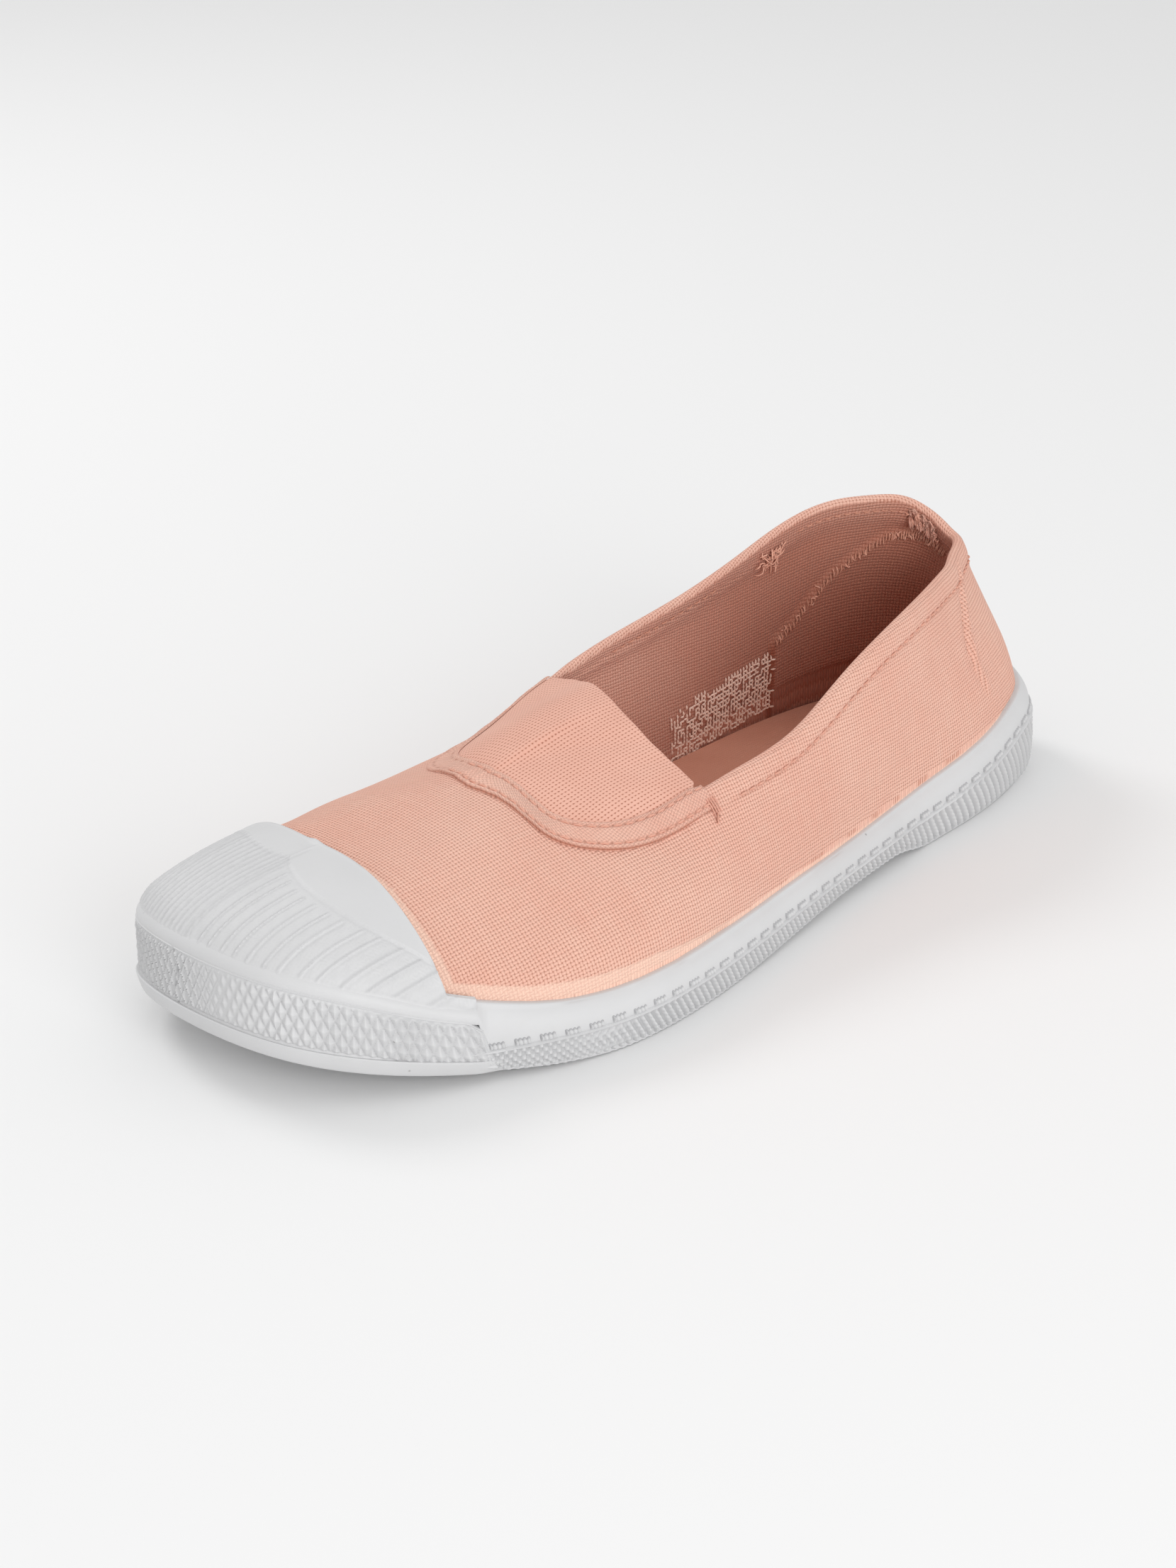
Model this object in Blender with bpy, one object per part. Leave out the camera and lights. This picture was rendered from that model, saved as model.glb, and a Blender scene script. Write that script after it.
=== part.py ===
"""Left canvas slip-on sneaker: cotton upper with an elastic gore, rubber toe cap and cupped rubber sole.

Frame: metres, +Z up, toe towards -Y, heel towards +Y, outer side of the foot towards +X.
A share along the shoe runs from 0 at the heel to 1 at the toe.
"""
import math

import bpy
import numpy as np

MM = 0.001

# Driving sizes of the shoe
LENGTH = 255 * MM
BALL_WIDTH = 98 * MM
INSTEP_HEIGHT = 44 * MM
COLLAR_HEIGHT = 58 * MM
TOE_SPRING = 11 * MM
ARCH_LIFT = 5 * MM
CLEARANCE = 0.3 * MM

# Outsole
PLATE_THICKNESS = 2.6 * MM
TOE_LIP_THICKNESS = 4.0 * MM
EDGE_CHAMFER = 0.8 * MM
TREAD_BORDER = 7 * MM
TREAD_DEPTH = 1.0 * MM
FOOTBED_RISE = 0.6 * MM
HEEL_BREAST_RUN = 16 * MM

# Foxing, the smooth band around the upper
FOXING_INSET = 2.3 * MM
FOXING_THICKNESS = 2.2 * MM
FOXING_SIDE_HEIGHT = 14 * MM
FOXING_HEEL_HEIGHT = 21.5 * MM
FOXING_TOE_HEIGHT = 22 * MM
FOXING_ROUNDING = 0.8 * MM

# Ribbed strip on the sides and heel
STRIP_THICKNESS = 1.2 * MM
STRIP_SIDE_HEIGHT = 9 * MM
STRIP_HEEL_HEIGHT = 14 * MM
RIB_PITCH = 3.2 * MM
RIB_DEPTH = 0.5 * MM

# Toe bumper with diamonds
BUMPER_THICKNESS = 1.5 * MM
BUMPER_TOE_HEIGHT = 18.2 * MM
BUMPER_END_HEIGHT = 12 * MM
BUMPER_BORDER = 1.2 * MM
DIAMOND_WIDTH = 4.2 * MM
DIAMOND_DEPTH = 0.6 * MM
DIAMOND_ROWS = 6

# Canvas upper
CANVAS_THICKNESS = 1.8 * MM
HEM_WIDTH = 8 * MM
HEM_STEP = 0.5 * MM
EDGE_ROUNDING = 0.6 * MM

# Toe cap, gore and binding
CAP_THICKNESS = 1.4 * MM
CAP_CLEARANCE = 0.7 * MM
CAP_LIFT = 0.9 * MM
CAP_BAND_WIDTH = 9 * MM
CAP_BAND_STEP = 0.4 * MM
GORE_THICKNESS = 1.4 * MM
BINDING_THICKNESS = 1.2 * MM
BINDING_ON_VAMP = 5 * MM
BINDING_ON_GORE = 3 * MM

# Insole
INSOLE_THICKNESS = 3.5 * MM

# Mesh fineness: stations on each side of the outline, columns across the sole, stations without lugs
HALF_RING = 40
SOLE_COLUMNS = 4
LUG_MARGIN = 2

# Plan outline of the outsole: share along the length, then each side as a share of the ball width
OUTLINE = (
    # share, outer, inner
    (0.03, 0.212, 0.205),
    (0.08, 0.292, 0.285),
    (0.16, 0.342, 0.335),
    (0.27, 0.368, 0.345),
    (0.40, 0.412, 0.330),
    (0.50, 0.462, 0.343),
    (0.60, 0.510, 0.403),
    (0.70, 0.530, 0.468),
    (0.78, 0.493, 0.494),
    (0.86, 0.402, 0.480),
    (0.93, 0.300, 0.416),
    (0.98, 0.160, 0.315),
)
TOE_TIP_SHARE = -0.072

# Upper: where each rising line starts on the foxing, where it ends on the top line, and its bend.
# foot is the share along the sole on that side; x is a share of the ball width, s of the length,
# z of the collar height up to the waist's share and of the instep height beyond it.
# lean and slope are degrees: outward lean at the foxing, slope at the top edge.
# low and high are handle lengths as shares of the straight distance.
WAIST_SHARE = 0.45
UPPER_OUTER = (
    # foot, x, s, z, lean, low, slope, high
    (0.030, 0.070, 0.078, 0.985, -6, 0.30, 68, 0.30),
    (0.100, 0.155, 0.155, 0.980, -6, 0.30, 70, 0.30),
    (0.200, 0.235, 0.250, 0.955, -6, 0.30, 72, 0.30),
    (0.300, 0.272, 0.335, 0.870, -6, 0.30, 70, 0.30),
    (0.400, 0.290, 0.400, 0.760, -5, 0.30, 68, 0.30),
    (0.480, 0.306, 0.460, 0.923, -4, 0.30, 66, 0.30),
    (0.560, 0.308, 0.550, 0.877, -2, 0.32, 50, 0.32),
    (0.640, 0.305, 0.605, 0.828, 0, 0.34, 42, 0.34),
    (0.720, 0.280, 0.656, 0.820, -2, 0.34, 32, 0.34),
    (0.790, 0.205, 0.688, 0.854, -8, 0.30, 24, 0.34),
    (0.860, 0.132, 0.694, 0.912, -18, 0.26, 17, 0.34),
    (0.930, 0.060, 0.692, 0.956, -32, 0.22, 12, 0.34),
)
UPPER_TOE = (1.0, -0.010, 0.693, 0.975, -45, 0.20, 10, 0.34)
UPPER_INNER = (
    (0.950, -0.060, 0.690, 0.973, -46, 0.20, 12, 0.34),
    (0.900, -0.120, 0.686, 0.952, -38, 0.22, 15, 0.34),
    (0.840, -0.180, 0.675, 0.929, -24, 0.26, 21, 0.34),
    (0.770, -0.235, 0.645, 0.919, -14, 0.30, 31, 0.34),
    (0.700, -0.262, 0.600, 0.936, -8, 0.30, 40, 0.34),
    (0.620, -0.280, 0.550, 0.982, 0, 0.32, 46, 0.32),
    (0.540, -0.285, 0.512, 1.028, 0, 0.30, 60, 0.30),
    (0.450, -0.285, 0.440, 0.850, 0, 0.30, 66, 0.30),
    (0.350, -0.276, 0.350, 0.920, -2, 0.30, 70, 0.30),
    (0.250, -0.260, 0.262, 1.030, -4, 0.30, 72, 0.30),
    (0.150, -0.215, 0.175, 1.160, -4, 0.30, 74, 0.30),
    (0.060, -0.125, 0.098, 1.140, -6, 0.30, 72, 0.30),
)
UPPER_HEEL = (0.0, 0.0, 0.060, 0.985, -6, 0.30, 66, 0.30)


def side_points():
    """Rows of the outline in metres: outer side from heel to toe, toe tip, inner side back to the heel."""
    outer = [(wide * BALL_WIDTH, share * LENGTH) for share, wide, _ in OUTLINE]
    inner = [(-wide * BALL_WIDTH, share * LENGTH) for share, _, wide in OUTLINE]
    return np.array([(0.0, 0.0)] + outer + [(TOE_TIP_SHARE * BALL_WIDTH, LENGTH)] + inner[::-1])


def closed_spline(knots, rows, where):
    """Smooth closed curve through rows at the knots; the last knot is where the first row returns."""
    rows = np.asarray(rows, float)
    knots = np.asarray(knots, float)
    count = len(rows)
    gaps = np.diff(knots)
    matrix = np.zeros((count, count))
    right = np.zeros_like(rows)
    for i in range(count):
        before, after = gaps[i - 1], gaps[i]
        matrix[i, i - 1] += before
        matrix[i, i] += 2 * (before + after)
        matrix[i, (i + 1) % count] += after
        right[i] = 6 * ((rows[(i + 1) % count] - rows[i]) / after - (rows[i] - rows[i - 1]) / before)
    bends = np.linalg.solve(matrix, right)
    where = knots[0] + (np.asarray(where, float) - knots[0]) % (knots[-1] - knots[0])
    i = np.clip(np.searchsorted(knots, where, side="right") - 1, 0, count - 1)
    j = (i + 1) % count
    gap = gaps[i][:, None]
    a = ((knots[i + 1] - where) / gaps[i])[:, None]
    b = 1 - a
    curve = a * rows[i] + b * rows[j]
    return curve + ((a ** 3 - a) * bends[i] + (b ** 3 - b) * bends[j]) * gap ** 2 / 6


def along(points):
    """Distance along a run of points, starting at 0."""
    steps = np.linalg.norm(np.diff(points, axis=0), axis=1)
    return np.concatenate(([0.0], np.cumsum(steps)))


def make_ring():
    """Evenly spaced points on each side of the outline, from the heel by the outer side to the toe and back."""
    rows = side_points()
    closed = np.vstack((rows, rows[:1]))
    knots = np.concatenate(([0.0], np.cumsum(np.sqrt(np.linalg.norm(np.diff(closed, axis=0), axis=1)))))
    dense = closed_spline(knots, rows, np.linspace(knots[0], knots[-1], 2001)[:-1])
    toe = int(np.argmax(dense[:, 1]))
    halves = (dense[:toe + 1], np.vstack((dense[toe:], dense[:1])))
    ring = []
    for half in halves:
        reach = along(half)
        for i in range(HALF_RING):
            place = reach[-1] * i / HALF_RING
            ring.append([np.interp(place, reach, half[:, k]) for k in (0, 1)])
    return np.array(ring)


RING = make_ring()
RING_COUNT = len(RING)
_tangent = np.roll(RING, -1, axis=0) - np.roll(RING, 1, axis=0)
NORMAL = np.column_stack((_tangent[:, 1], -_tangent[:, 0]))
NORMAL /= np.linalg.norm(NORMAL, axis=1)[:, None]


def ring_at(place, inset):
    """Point on the ring polygon at a fractional index, moved inward by inset: x and distance from the heel."""
    place = place % RING_COUNT
    i = int(place)
    part = place - i
    j = (i + 1) % RING_COUNT
    here = RING[i] - NORMAL[i] * inset
    there = RING[j] - NORMAL[j] * inset
    return here * (1 - part) + there * part


def ring_index(share, outer):
    """Fractional ring index where one side of the outline passes a share of the length."""
    if outer:
        return float(np.interp(share * LENGTH, RING[:HALF_RING + 1, 1], np.arange(HALF_RING + 1)))
    back = np.vstack((RING[HALF_RING:], RING[:1]))[::-1]
    return RING_COUNT - float(np.interp(share * LENGTH, back[:, 1], np.arange(HALF_RING + 1)))


def smooth(low, high, value):
    """0 below low, 1 above high, with a soft ramp between."""
    t = min(max((value - low) / (high - low), 0.0), 1.0)
    return t * t * (3 - 2 * t)


HEEL_END = 0.25
ARCH_END = 0.62
SPRING_START = 0.72


def ground(run):
    """Height of the sole's underside at a distance from the heel: flat heel, arch, flat ball, toe spring."""
    share = run / LENGTH
    if share > SPRING_START:
        return TOE_SPRING * ((share - SPRING_START) / (1 - SPRING_START)) ** 2
    if HEEL_END < share < ARCH_END:
        breast = smooth(HEEL_END, HEEL_END + HEEL_BREAST_RUN / LENGTH, share)
        return ARCH_LIFT * breast * (1 - smooth(HEEL_END + 0.05, ARCH_END, share))
    return 0.0


def toe_lift(run):
    """Height of the underside in front of the ball, and 0 behind it."""
    return ground(run) if run > SPRING_START * LENGTH else 0.0


def sole_thickness(run):
    """Thickness of the outsole's rim, thicker towards the toe."""
    return PLATE_THICKNESS + (TOE_LIP_THICKNESS - PLATE_THICKNESS) * smooth(0.72, 0.97, run / LENGTH)


def heel_blend(run):
    """1 at the heel and 0 from the waist on."""
    return 1 - smooth(0.02, 0.42, run / LENGTH)


def rim_top(run):
    """Height of the outsole's rim, on which the foxing and the upper stand."""
    return ground(run) + sole_thickness(run)


def rim_seat(run):
    """Height of what stands on the rim."""
    return rim_top(run) + CLEARANCE


def footbed(run):
    """Height of the outsole's smooth upper face inside the rim, thicker under the heel and the arch."""
    arch_fill = ARCH_LIFT * (1 - smooth(0.42, 0.70, run / LENGTH))
    return toe_lift(run) + sole_thickness(run) + arch_fill + FOOTBED_RISE


def foxing_top(run):
    """Height of the foxing's upper edge, which runs level over the arch."""
    height = FOXING_SIDE_HEIGHT
    height += (FOXING_HEEL_HEIGHT - FOXING_SIDE_HEIGHT) * heel_blend(run)
    height += (FOXING_TOE_HEIGHT - FOXING_SIDE_HEIGHT) * smooth(0.80, 0.98, run / LENGTH)
    return height + toe_lift(run)


def point(plan, height):
    """Plan point (x, distance from the heel) and a height as a point of the shoe's frame."""
    return np.array((plan[0], LENGTH / 2 - plan[1], height))


def rim_point(place, inset, height):
    """Point near the sole's rim, on straight facets between the ring's own points."""
    i = math.floor(place)
    ends = []
    for index in (i, i + 1):
        plan = ring_at(index, inset)
        ends.append(point(plan, height(plan[1])))
    return ends[0] + (ends[1] - ends[0]) * (place - i)


UPPER_INSET = FOXING_INSET + FOXING_THICKNESS + CLEARANCE
FOOTBED_INSET = UPPER_INSET + CANVAS_THICKNESS + CLEARANCE


def upper_rows():
    """The table's rows in the order of the ring, with their ring indices as knots."""
    rows = [UPPER_HEEL] + list(UPPER_OUTER) + [UPPER_TOE] + list(UPPER_INNER)
    knots = [0.0]
    knots += [ring_index(row[0], True) for row in UPPER_OUTER]
    knots += [float(HALF_RING)]
    knots += [ring_index(row[0], False) for row in UPPER_INNER]
    knots += [float(RING_COUNT)]
    values = []
    for row in rows:
        foot, x, s, z, lean, low, slope, high = row
        full = INSTEP_HEIGHT if s > WAIST_SHARE else COLLAR_HEIGHT
        values.append((x * BALL_WIDTH, s * LENGTH, z * full, math.radians(lean), low, math.radians(slope), high))
    return np.array(knots), np.array(values)


UPPER_KNOTS, UPPER_VALUES = upper_rows()


def upper_line(place):
    """The four control points of the upper's rising line at a ring index, in x, run and height."""
    x, run, height, lean, low, slope, high = closed_spline(UPPER_KNOTS, UPPER_VALUES, [place])[0]
    foot_plan = ring_at(place, UPPER_INSET)
    i = int(place % RING_COUNT)
    part = place % RING_COUNT - i
    out = NORMAL[i] * (1 - part) + NORMAL[(i + 1) % RING_COUNT] * part
    foot = np.array((foot_plan[0], foot_plan[1], foxing_top(foot_plan[1])))
    top = np.array((x, run, height))
    reach = np.linalg.norm(top - foot)
    rise = np.array((out[0] * math.sin(lean), out[1] * math.sin(lean), math.cos(lean)))
    inward = foot[:2] - top[:2]
    flat = out * 0.5 + inward / (np.linalg.norm(inward) + CLEARANCE) * 0.5
    flat /= np.linalg.norm(flat)
    fall = np.array((flat[0] * math.cos(slope), flat[1] * math.cos(slope), -math.sin(slope)))
    return foot, foot + rise * reach * low, top + fall * reach * high, top


def bezier(controls, v):
    """Point of a cubic with four control points."""
    a, b, c, d = controls
    w = 1 - v
    return a * w ** 3 + b * 3 * w * w * v + c * 3 * w * v * v + d * v ** 3


def upper_at(place, v):
    """Outer surface of the upper: ring index, and 0 at the foxing to 1 at the top line."""
    x, run, height = bezier(upper_line(place), v)
    return np.array((x, LENGTH / 2 - run, height))


def surface_normal(surface, place, v, step_place=0.25, step_v=0.02):
    """Outward unit normal of a surface function, from small steps along both of its directions."""
    v_low, v_high = max(v - step_v, 0.0), min(v + step_v, 1.0)
    across = surface(place + step_place, v) - surface(place - step_place, v)
    upward = surface(place, v_high) - surface(place, v_low)
    normal = np.cross(upward, across)
    return normal / np.linalg.norm(normal)


def offset_at(surface, place, v, distance):
    """Point of a surface moved along its outward normal."""
    return surface(place, v) + surface_normal(surface, place, v) * distance


def line_length(place):
    """Length of the upper's rising line at a ring index."""
    controls = upper_line(place)
    return along(np.array([bezier(controls, v) for v in np.linspace(0, 1, 13)]))[-1]


def material(name, colour, roughness):
    """Principled material in linear colour."""
    made = bpy.data.materials.new(name)
    made.use_nodes = True
    shader = made.node_tree.nodes["Principled BSDF"]
    shader.inputs["Base Color"].default_value = (*colour, 1.0)
    shader.inputs["Roughness"].default_value = roughness
    shader.inputs["Metallic"].default_value = 0.0
    return made


def add_object(name, vertices, faces, surface):
    """One named object from vertices and faces, shaded smooth but for its sharp edges."""
    mesh = bpy.data.meshes.new(name)
    mesh.from_pydata([tuple(v) for v in vertices], [], faces)
    mesh.validate()
    mesh.shade_smooth()
    mesh.set_sharp_from_angle(angle=math.radians(35))
    made = bpy.data.objects.new(name, mesh)
    made.data.materials.append(surface)
    bpy.context.collection.objects.link(made)
    return made


def swept(name, sections, surface, closed, split=None):
    """Solid from profile loops: joined end to end when closed, and otherwise capped at both ends."""
    sections = [np.asarray(section, float) for section in sections]
    count, rows = len(sections), len(sections[0])
    vertices = np.vstack(sections)
    faces = []
    for i in range(count if closed else count - 1):
        j = (i + 1) % count
        for k in range(rows):
            m = (k + 1) % rows
            quad = (i * rows + m, j * rows + m, j * rows + k, i * rows + k)
            if split and split(i, k):
                faces += [(quad[0], quad[1], quad[3]), (quad[1], quad[2], quad[3])]
            else:
                faces += [(quad[0], quad[1], quad[2]), (quad[0], quad[2], quad[3])]
    if not closed:
        faces.append(tuple(reversed(range(rows))))
        faces.append(tuple((count - 1) * rows + k for k in range(rows)))
    return add_object(name, vertices, faces, surface)


def plate(name, inset_rows, surface, tread=None):
    """Flat-lying solid: side rows from the underside to the top, both faces filled across the foot.

    inset_rows holds (inset, height function) for each ring from the underside's edge to the top's edge.
    """
    vertices = []
    for inset, height in inset_rows:
        for i in range(RING_COUNT):
            vertices.append(rim_point(i, inset, height))
    faces = []
    for row in range(len(inset_rows) - 1):
        for i in range(RING_COUNT):
            j = (i + 1) % RING_COUNT
            a, b = row * RING_COUNT, (row + 1) * RING_COUNT
            faces += [(a + i, b + j, a + j), (a + i, b + i, b + j)]
    top_row = len(inset_rows) - 1
    for row, underside in ((0, True), (top_row, False)):
        start = row * RING_COUNT
        height = inset_rows[row][1]
        previous = [start] * (SOLE_COLUMNS + 1)
        for i in range(1, HALF_RING + 1):
            if i == HALF_RING:
                current = [start + HALF_RING] * (SOLE_COLUMNS + 1)
            else:
                left, right = start + i, start + RING_COUNT - i
                a, b = np.array(vertices[left]), np.array(vertices[right])
                current = [left]
                for k in range(1, SOLE_COLUMNS):
                    mid = a + (b - a) * k / SOLE_COLUMNS
                    run = LENGTH / 2 - mid[1]
                    lift = tread(i) if tread and underside else 0.0
                    current.append(len(vertices))
                    vertices.append((mid[0], mid[1], height(run) + lift))
                current.append(right)
            for k in range(SOLE_COLUMNS):
                corners = [previous[k], previous[k + 1], current[k + 1], current[k]]
                corners = [c for n, c in enumerate(corners) if c != corners[n - 1]]
                if len(corners) > 2:
                    for n in range(1, len(corners) - 1):
                        face = (corners[0], corners[n], corners[n + 1])
                        faces.append(face[::-1] if underside else face)
            previous = current
    return add_object(name, vertices, faces, surface)


def build_outsole(surface):
    """Bottom plate with chamfered lip, arch, toe spring and cross lugs."""
    def lugs(station):
        between = LUG_MARGIN < station < HALF_RING - LUG_MARGIN
        return TREAD_DEPTH if station % 2 and between else 0.0

    rows = (
        (TREAD_BORDER, ground),
        (EDGE_CHAMFER, ground),
        (0.0, lambda run: ground(run) + EDGE_CHAMFER),
        (0.0, lambda run: rim_top(run) - EDGE_CHAMFER / 2),
        (EDGE_CHAMFER / 2, rim_top),
        (FOOTBED_INSET, rim_top),
        (FOOTBED_INSET, footbed),
    )
    return plate("outsole", rows, surface, lugs)


def build_insole(surface):
    """Insole lying on the plate inside the upper's wall."""
    def low(run):
        return footbed(run) + CLEARANCE

    def high(run):
        return low(run) + INSOLE_THICKNESS

    return plate("insole", ((FOOTBED_INSET, low), (FOOTBED_INSET, high)), surface)


def build_foxing(surface):
    """Smooth band that stands on the plate and cups the foot of the upper."""
    inner = FOXING_INSET + FOXING_THICKNESS

    def below_top(drop):
        return lambda run: foxing_top(run) - drop * FOXING_ROUNDING

    profile = (
        (FOXING_INSET, rim_seat),
        (FOXING_INSET, below_top(1.0)),
        (FOXING_INSET + FOXING_ROUNDING * 0.7, below_top(0.2)),
        (inner - FOXING_ROUNDING * 0.3, below_top(0.0)),
        (inner, below_top(0.4)),
        (inner, rim_seat),
    )
    sections = []
    for i in range(RING_COUNT):
        sections.append([rim_point(i, inset, height) for inset, height in profile])
    return swept("foxing", sections, surface, closed=True)


BUMPER_OUTER_END = 0.853
BUMPER_INNER_END = 0.838


def strip_top(run):
    """Height of the ribbed strip's upper edge."""
    return STRIP_SIDE_HEIGHT + (STRIP_HEEL_HEIGHT - STRIP_SIDE_HEIGHT) * heel_blend(run)


def build_rib_strip(surface):
    """Strip of upright ribs around the sides and heel, between the bumper's ends."""
    start = ring_index(BUMPER_INNER_END, False) - RING_COUNT
    end = ring_index(BUMPER_OUTER_END, True)
    gap = (CLEARANCE + STRIP_THICKNESS / 2) / along(RING)[1]
    start, end = start + gap, end - gap
    places = np.linspace(start, end, 400)
    reach = along(np.array([ring_at(p, FOXING_INSET) for p in places]))
    halves = 2 * int(round(reach[-1] / RIB_PITCH))
    inner = FOXING_INSET - CLEARANCE
    sections = []
    for n in range(halves + 1):
        place = float(np.interp(reach[-1] * n / halves, reach, places))
        outer = inner - STRIP_THICKNESS + (RIB_DEPTH if n % 2 else 0.0)
        profile = ((outer, rim_seat), (outer, strip_top), (inner, strip_top), (inner, rim_seat))
        sections.append([rim_point(place, inset, height) for inset, height in profile])
    return swept("side_rib_strip", sections, surface, closed=False)


def bumper_top(run):
    """Height of the bumper's upper edge, lower towards its ends."""
    blend = smooth(0.84, 0.98, run / LENGTH)
    return ground(run) + BUMPER_END_HEIGHT + (BUMPER_TOE_HEIGHT - BUMPER_END_HEIGHT) * blend


def field_level(part):
    """Height function inside the bumper's diamond field, from 0 at its lower border to 1 at its upper one."""
    def level(run):
        low, high = rim_seat(run) + BUMPER_BORDER, bumper_top(run) - BUMPER_BORDER
        return low + (high - low) * part

    return level


def build_bumper(surface):
    """Rubber strip around the toe with rows of raised diamonds between two plain borders."""
    start = ring_index(BUMPER_OUTER_END, True)
    end = ring_index(BUMPER_INNER_END, False)
    places = np.linspace(start, end, 300)
    reach = along(np.array([ring_at(p, FOXING_INSET) for p in places]))
    halves = 2 * int(round(reach[-1] / DIAMOND_WIDTH))
    inner = FOXING_INSET - CLEARANCE
    outer = inner - BUMPER_THICKNESS
    sections = []
    for n in range(halves + 1):
        place = float(np.interp(reach[-1] * n / halves, reach, places))
        profile = [(outer, rim_seat)]
        for row in range(DIAMOND_ROWS + 1):
            rim = row in (0, DIAMOND_ROWS) or n in (0, halves)
            peak = DIAMOND_DEPTH if (row + n) % 2 and not rim else 0.0
            profile.append((outer - peak + DIAMOND_DEPTH / 2, field_level(row / DIAMOND_ROWS)))
        profile += [(outer, bumper_top), (inner, bumper_top), (inner, rim_seat)]
        sections.append([rim_point(place, inset, height) for inset, height in profile])

    def split(i, k):
        return (i + k) % 2 == 1

    return swept("toe_bumper", sections, surface, closed=False, split=split)


THROAT_OUTER_FOOT = 0.560
THROAT_INNER_FOOT = 0.540


def hem_amount(place):
    """1 along the collar and 0 along the throat, where the binding lies instead of the hem."""
    start = ring_index(THROAT_OUTER_FOOT, True)
    end = ring_index(THROAT_INNER_FOOT, False)
    return 1 - smooth(start - 1.5, start, place) + smooth(end, end + 1.5, place)


UPPER_ROWS = (0.0, 0.10, 0.22, 0.36, 0.50, 0.64, 0.78)
INNER_ROWS = (0.86, 0.66, 0.46, 0.28, 0.12, 0.0)


def build_upper(surface):
    """Hollow canvas upper: one wall from the plate to the top line, open at the collar, throat and sole."""
    sections = []
    for i in range(RING_COUNT):
        length = line_length(i)
        hem = 1 - HEM_WIDTH / length
        hem_low = hem - HEM_STEP / length
        edge = 1 - EDGE_ROUNDING / length
        step = HEM_STEP * hem_amount(i)
        inner_inset = UPPER_INSET + CANVAS_THICKNESS
        section = [rim_point(i, UPPER_INSET, rim_seat)]
        section += [upper_at(i, v * hem_low / 0.86) for v in UPPER_ROWS]
        section.append(upper_at(i, hem_low))
        section.append(offset_at(upper_at, i, hem, step))
        section.append(offset_at(upper_at, i, edge, step))
        section.append(offset_at(upper_at, i, 1.0, step - EDGE_ROUNDING))
        section.append(offset_at(upper_at, i, 1.0, EDGE_ROUNDING - CANVAS_THICKNESS))
        section.append(offset_at(upper_at, i, edge, -CANVAS_THICKNESS))
        section += [offset_at(upper_at, i, v, -CANVAS_THICKNESS) for v in INNER_ROWS]
        section[-1] = rim_point(i, inner_inset, foxing_top)
        section.append(rim_point(i, inner_inset, rim_seat))
        sections.append(section)
    return swept("upper", sections, surface, closed=True)


CAP_OUTER_FOOT = 0.855
CAP_INNER_FOOT = 0.842
CAP_REAR_SHARE = 0.860
CAP_REAR_BULGE = 0.012


def cap_rear(x):
    """Distance from the heel of the toe cap's rear edge at a place across the foot."""
    across = x / (BALL_WIDTH / 2)
    return (CAP_REAR_SHARE + CAP_REAR_BULGE * abs(across) * across) * LENGTH


def cap_edge(place):
    """The upper's v where its rising line passes the toe cap's rear edge."""
    low, high = 0.0, 1.0
    for _ in range(24):
        v = (low + high) / 2
        spot = upper_at(place, v)
        if LENGTH / 2 - spot[1] > cap_rear(spot[0]):
            low = v
        else:
            high = v
    return low


CAP_ROWS = 6


def build_toe_cap(surface):
    """Rubber shell over the toe, cut from the upper's own surface, with a raised band along its rear edge."""
    start = ring_index(CAP_OUTER_FOOT, True)
    end = ring_index(CAP_INNER_FOOT, False)
    first, last = int(math.ceil(start + 0.3)), int(math.floor(end - 0.3))
    places = [start + 0.15] + list(range(first, last + 1)) + [end - 0.15]
    sections = []
    for place in places:
        length = line_length(place)
        rear = max(cap_edge(place), 0.03)
        front = min(CAP_LIFT / length, rear / 3)
        band = max(rear - CAP_BAND_WIDTH / length, rear * 0.55)
        band_low = max(band - 2 * CAP_BAND_STEP / length, rear * 0.5)
        steps = [front + (band_low - front) * k / CAP_ROWS for k in range(CAP_ROWS + 1)]
        outer = CAP_CLEARANCE + CAP_THICKNESS
        section = [offset_at(upper_at, place, v, outer) for v in steps]
        section.append(offset_at(upper_at, place, band, outer + CAP_BAND_STEP))
        section.append(offset_at(upper_at, place, (band + rear) / 2, outer + CAP_BAND_STEP))
        section.append(offset_at(upper_at, place, rear, outer + CAP_BAND_STEP / 2))
        back = [rear, (band + rear) / 2, band] + steps[::-1]
        section += [offset_at(upper_at, place, v, CAP_CLEARANCE) for v in back]
        sections.append(section)
    return swept("toe_cap", sections, surface, closed=False)


# Rear edge of the gore from the outer corner to the inner one: x as a share of the ball width,
# s of the length, z of the instep height
GORE_REAR = (
    # x, s, z
    (0.285, 0.556, 0.886),
    (0.205, 0.552, 0.939),
    (0.130, 0.549, 0.995),
    (0.020, 0.541, 1.074),
    (-0.090, 0.529, 1.120),
    (-0.190, 0.515, 1.070),
    (-0.262, 0.512, 1.035),
)
GORE_RISE = 0.035


def gore_rear(part):
    """Point of the gore's rear edge, from 0 at the outer corner to 1 at the inner one."""
    rows = np.array(GORE_REAR) * (BALL_WIDTH, LENGTH, INSTEP_HEIGHT)
    spot = part * (len(rows) - 1)
    i = min(int(spot), len(rows) - 2)
    t = spot - i
    before, after = rows[max(i - 1, 0)], rows[min(i + 2, len(rows) - 1)]
    slope_a, slope_b = (rows[i + 1] - before) / 2, (after - rows[i]) / 2
    a, b = rows[i], rows[i + 1]
    x, run, height = (a * (2 * t ** 3 - 3 * t ** 2 + 1) + slope_a * (t ** 3 - 2 * t ** 2 + t)
                      + b * (3 * t ** 2 - 2 * t ** 3) + slope_b * (t ** 3 - t ** 2))
    return np.array((x, LENGTH / 2 - run, height))


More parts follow.
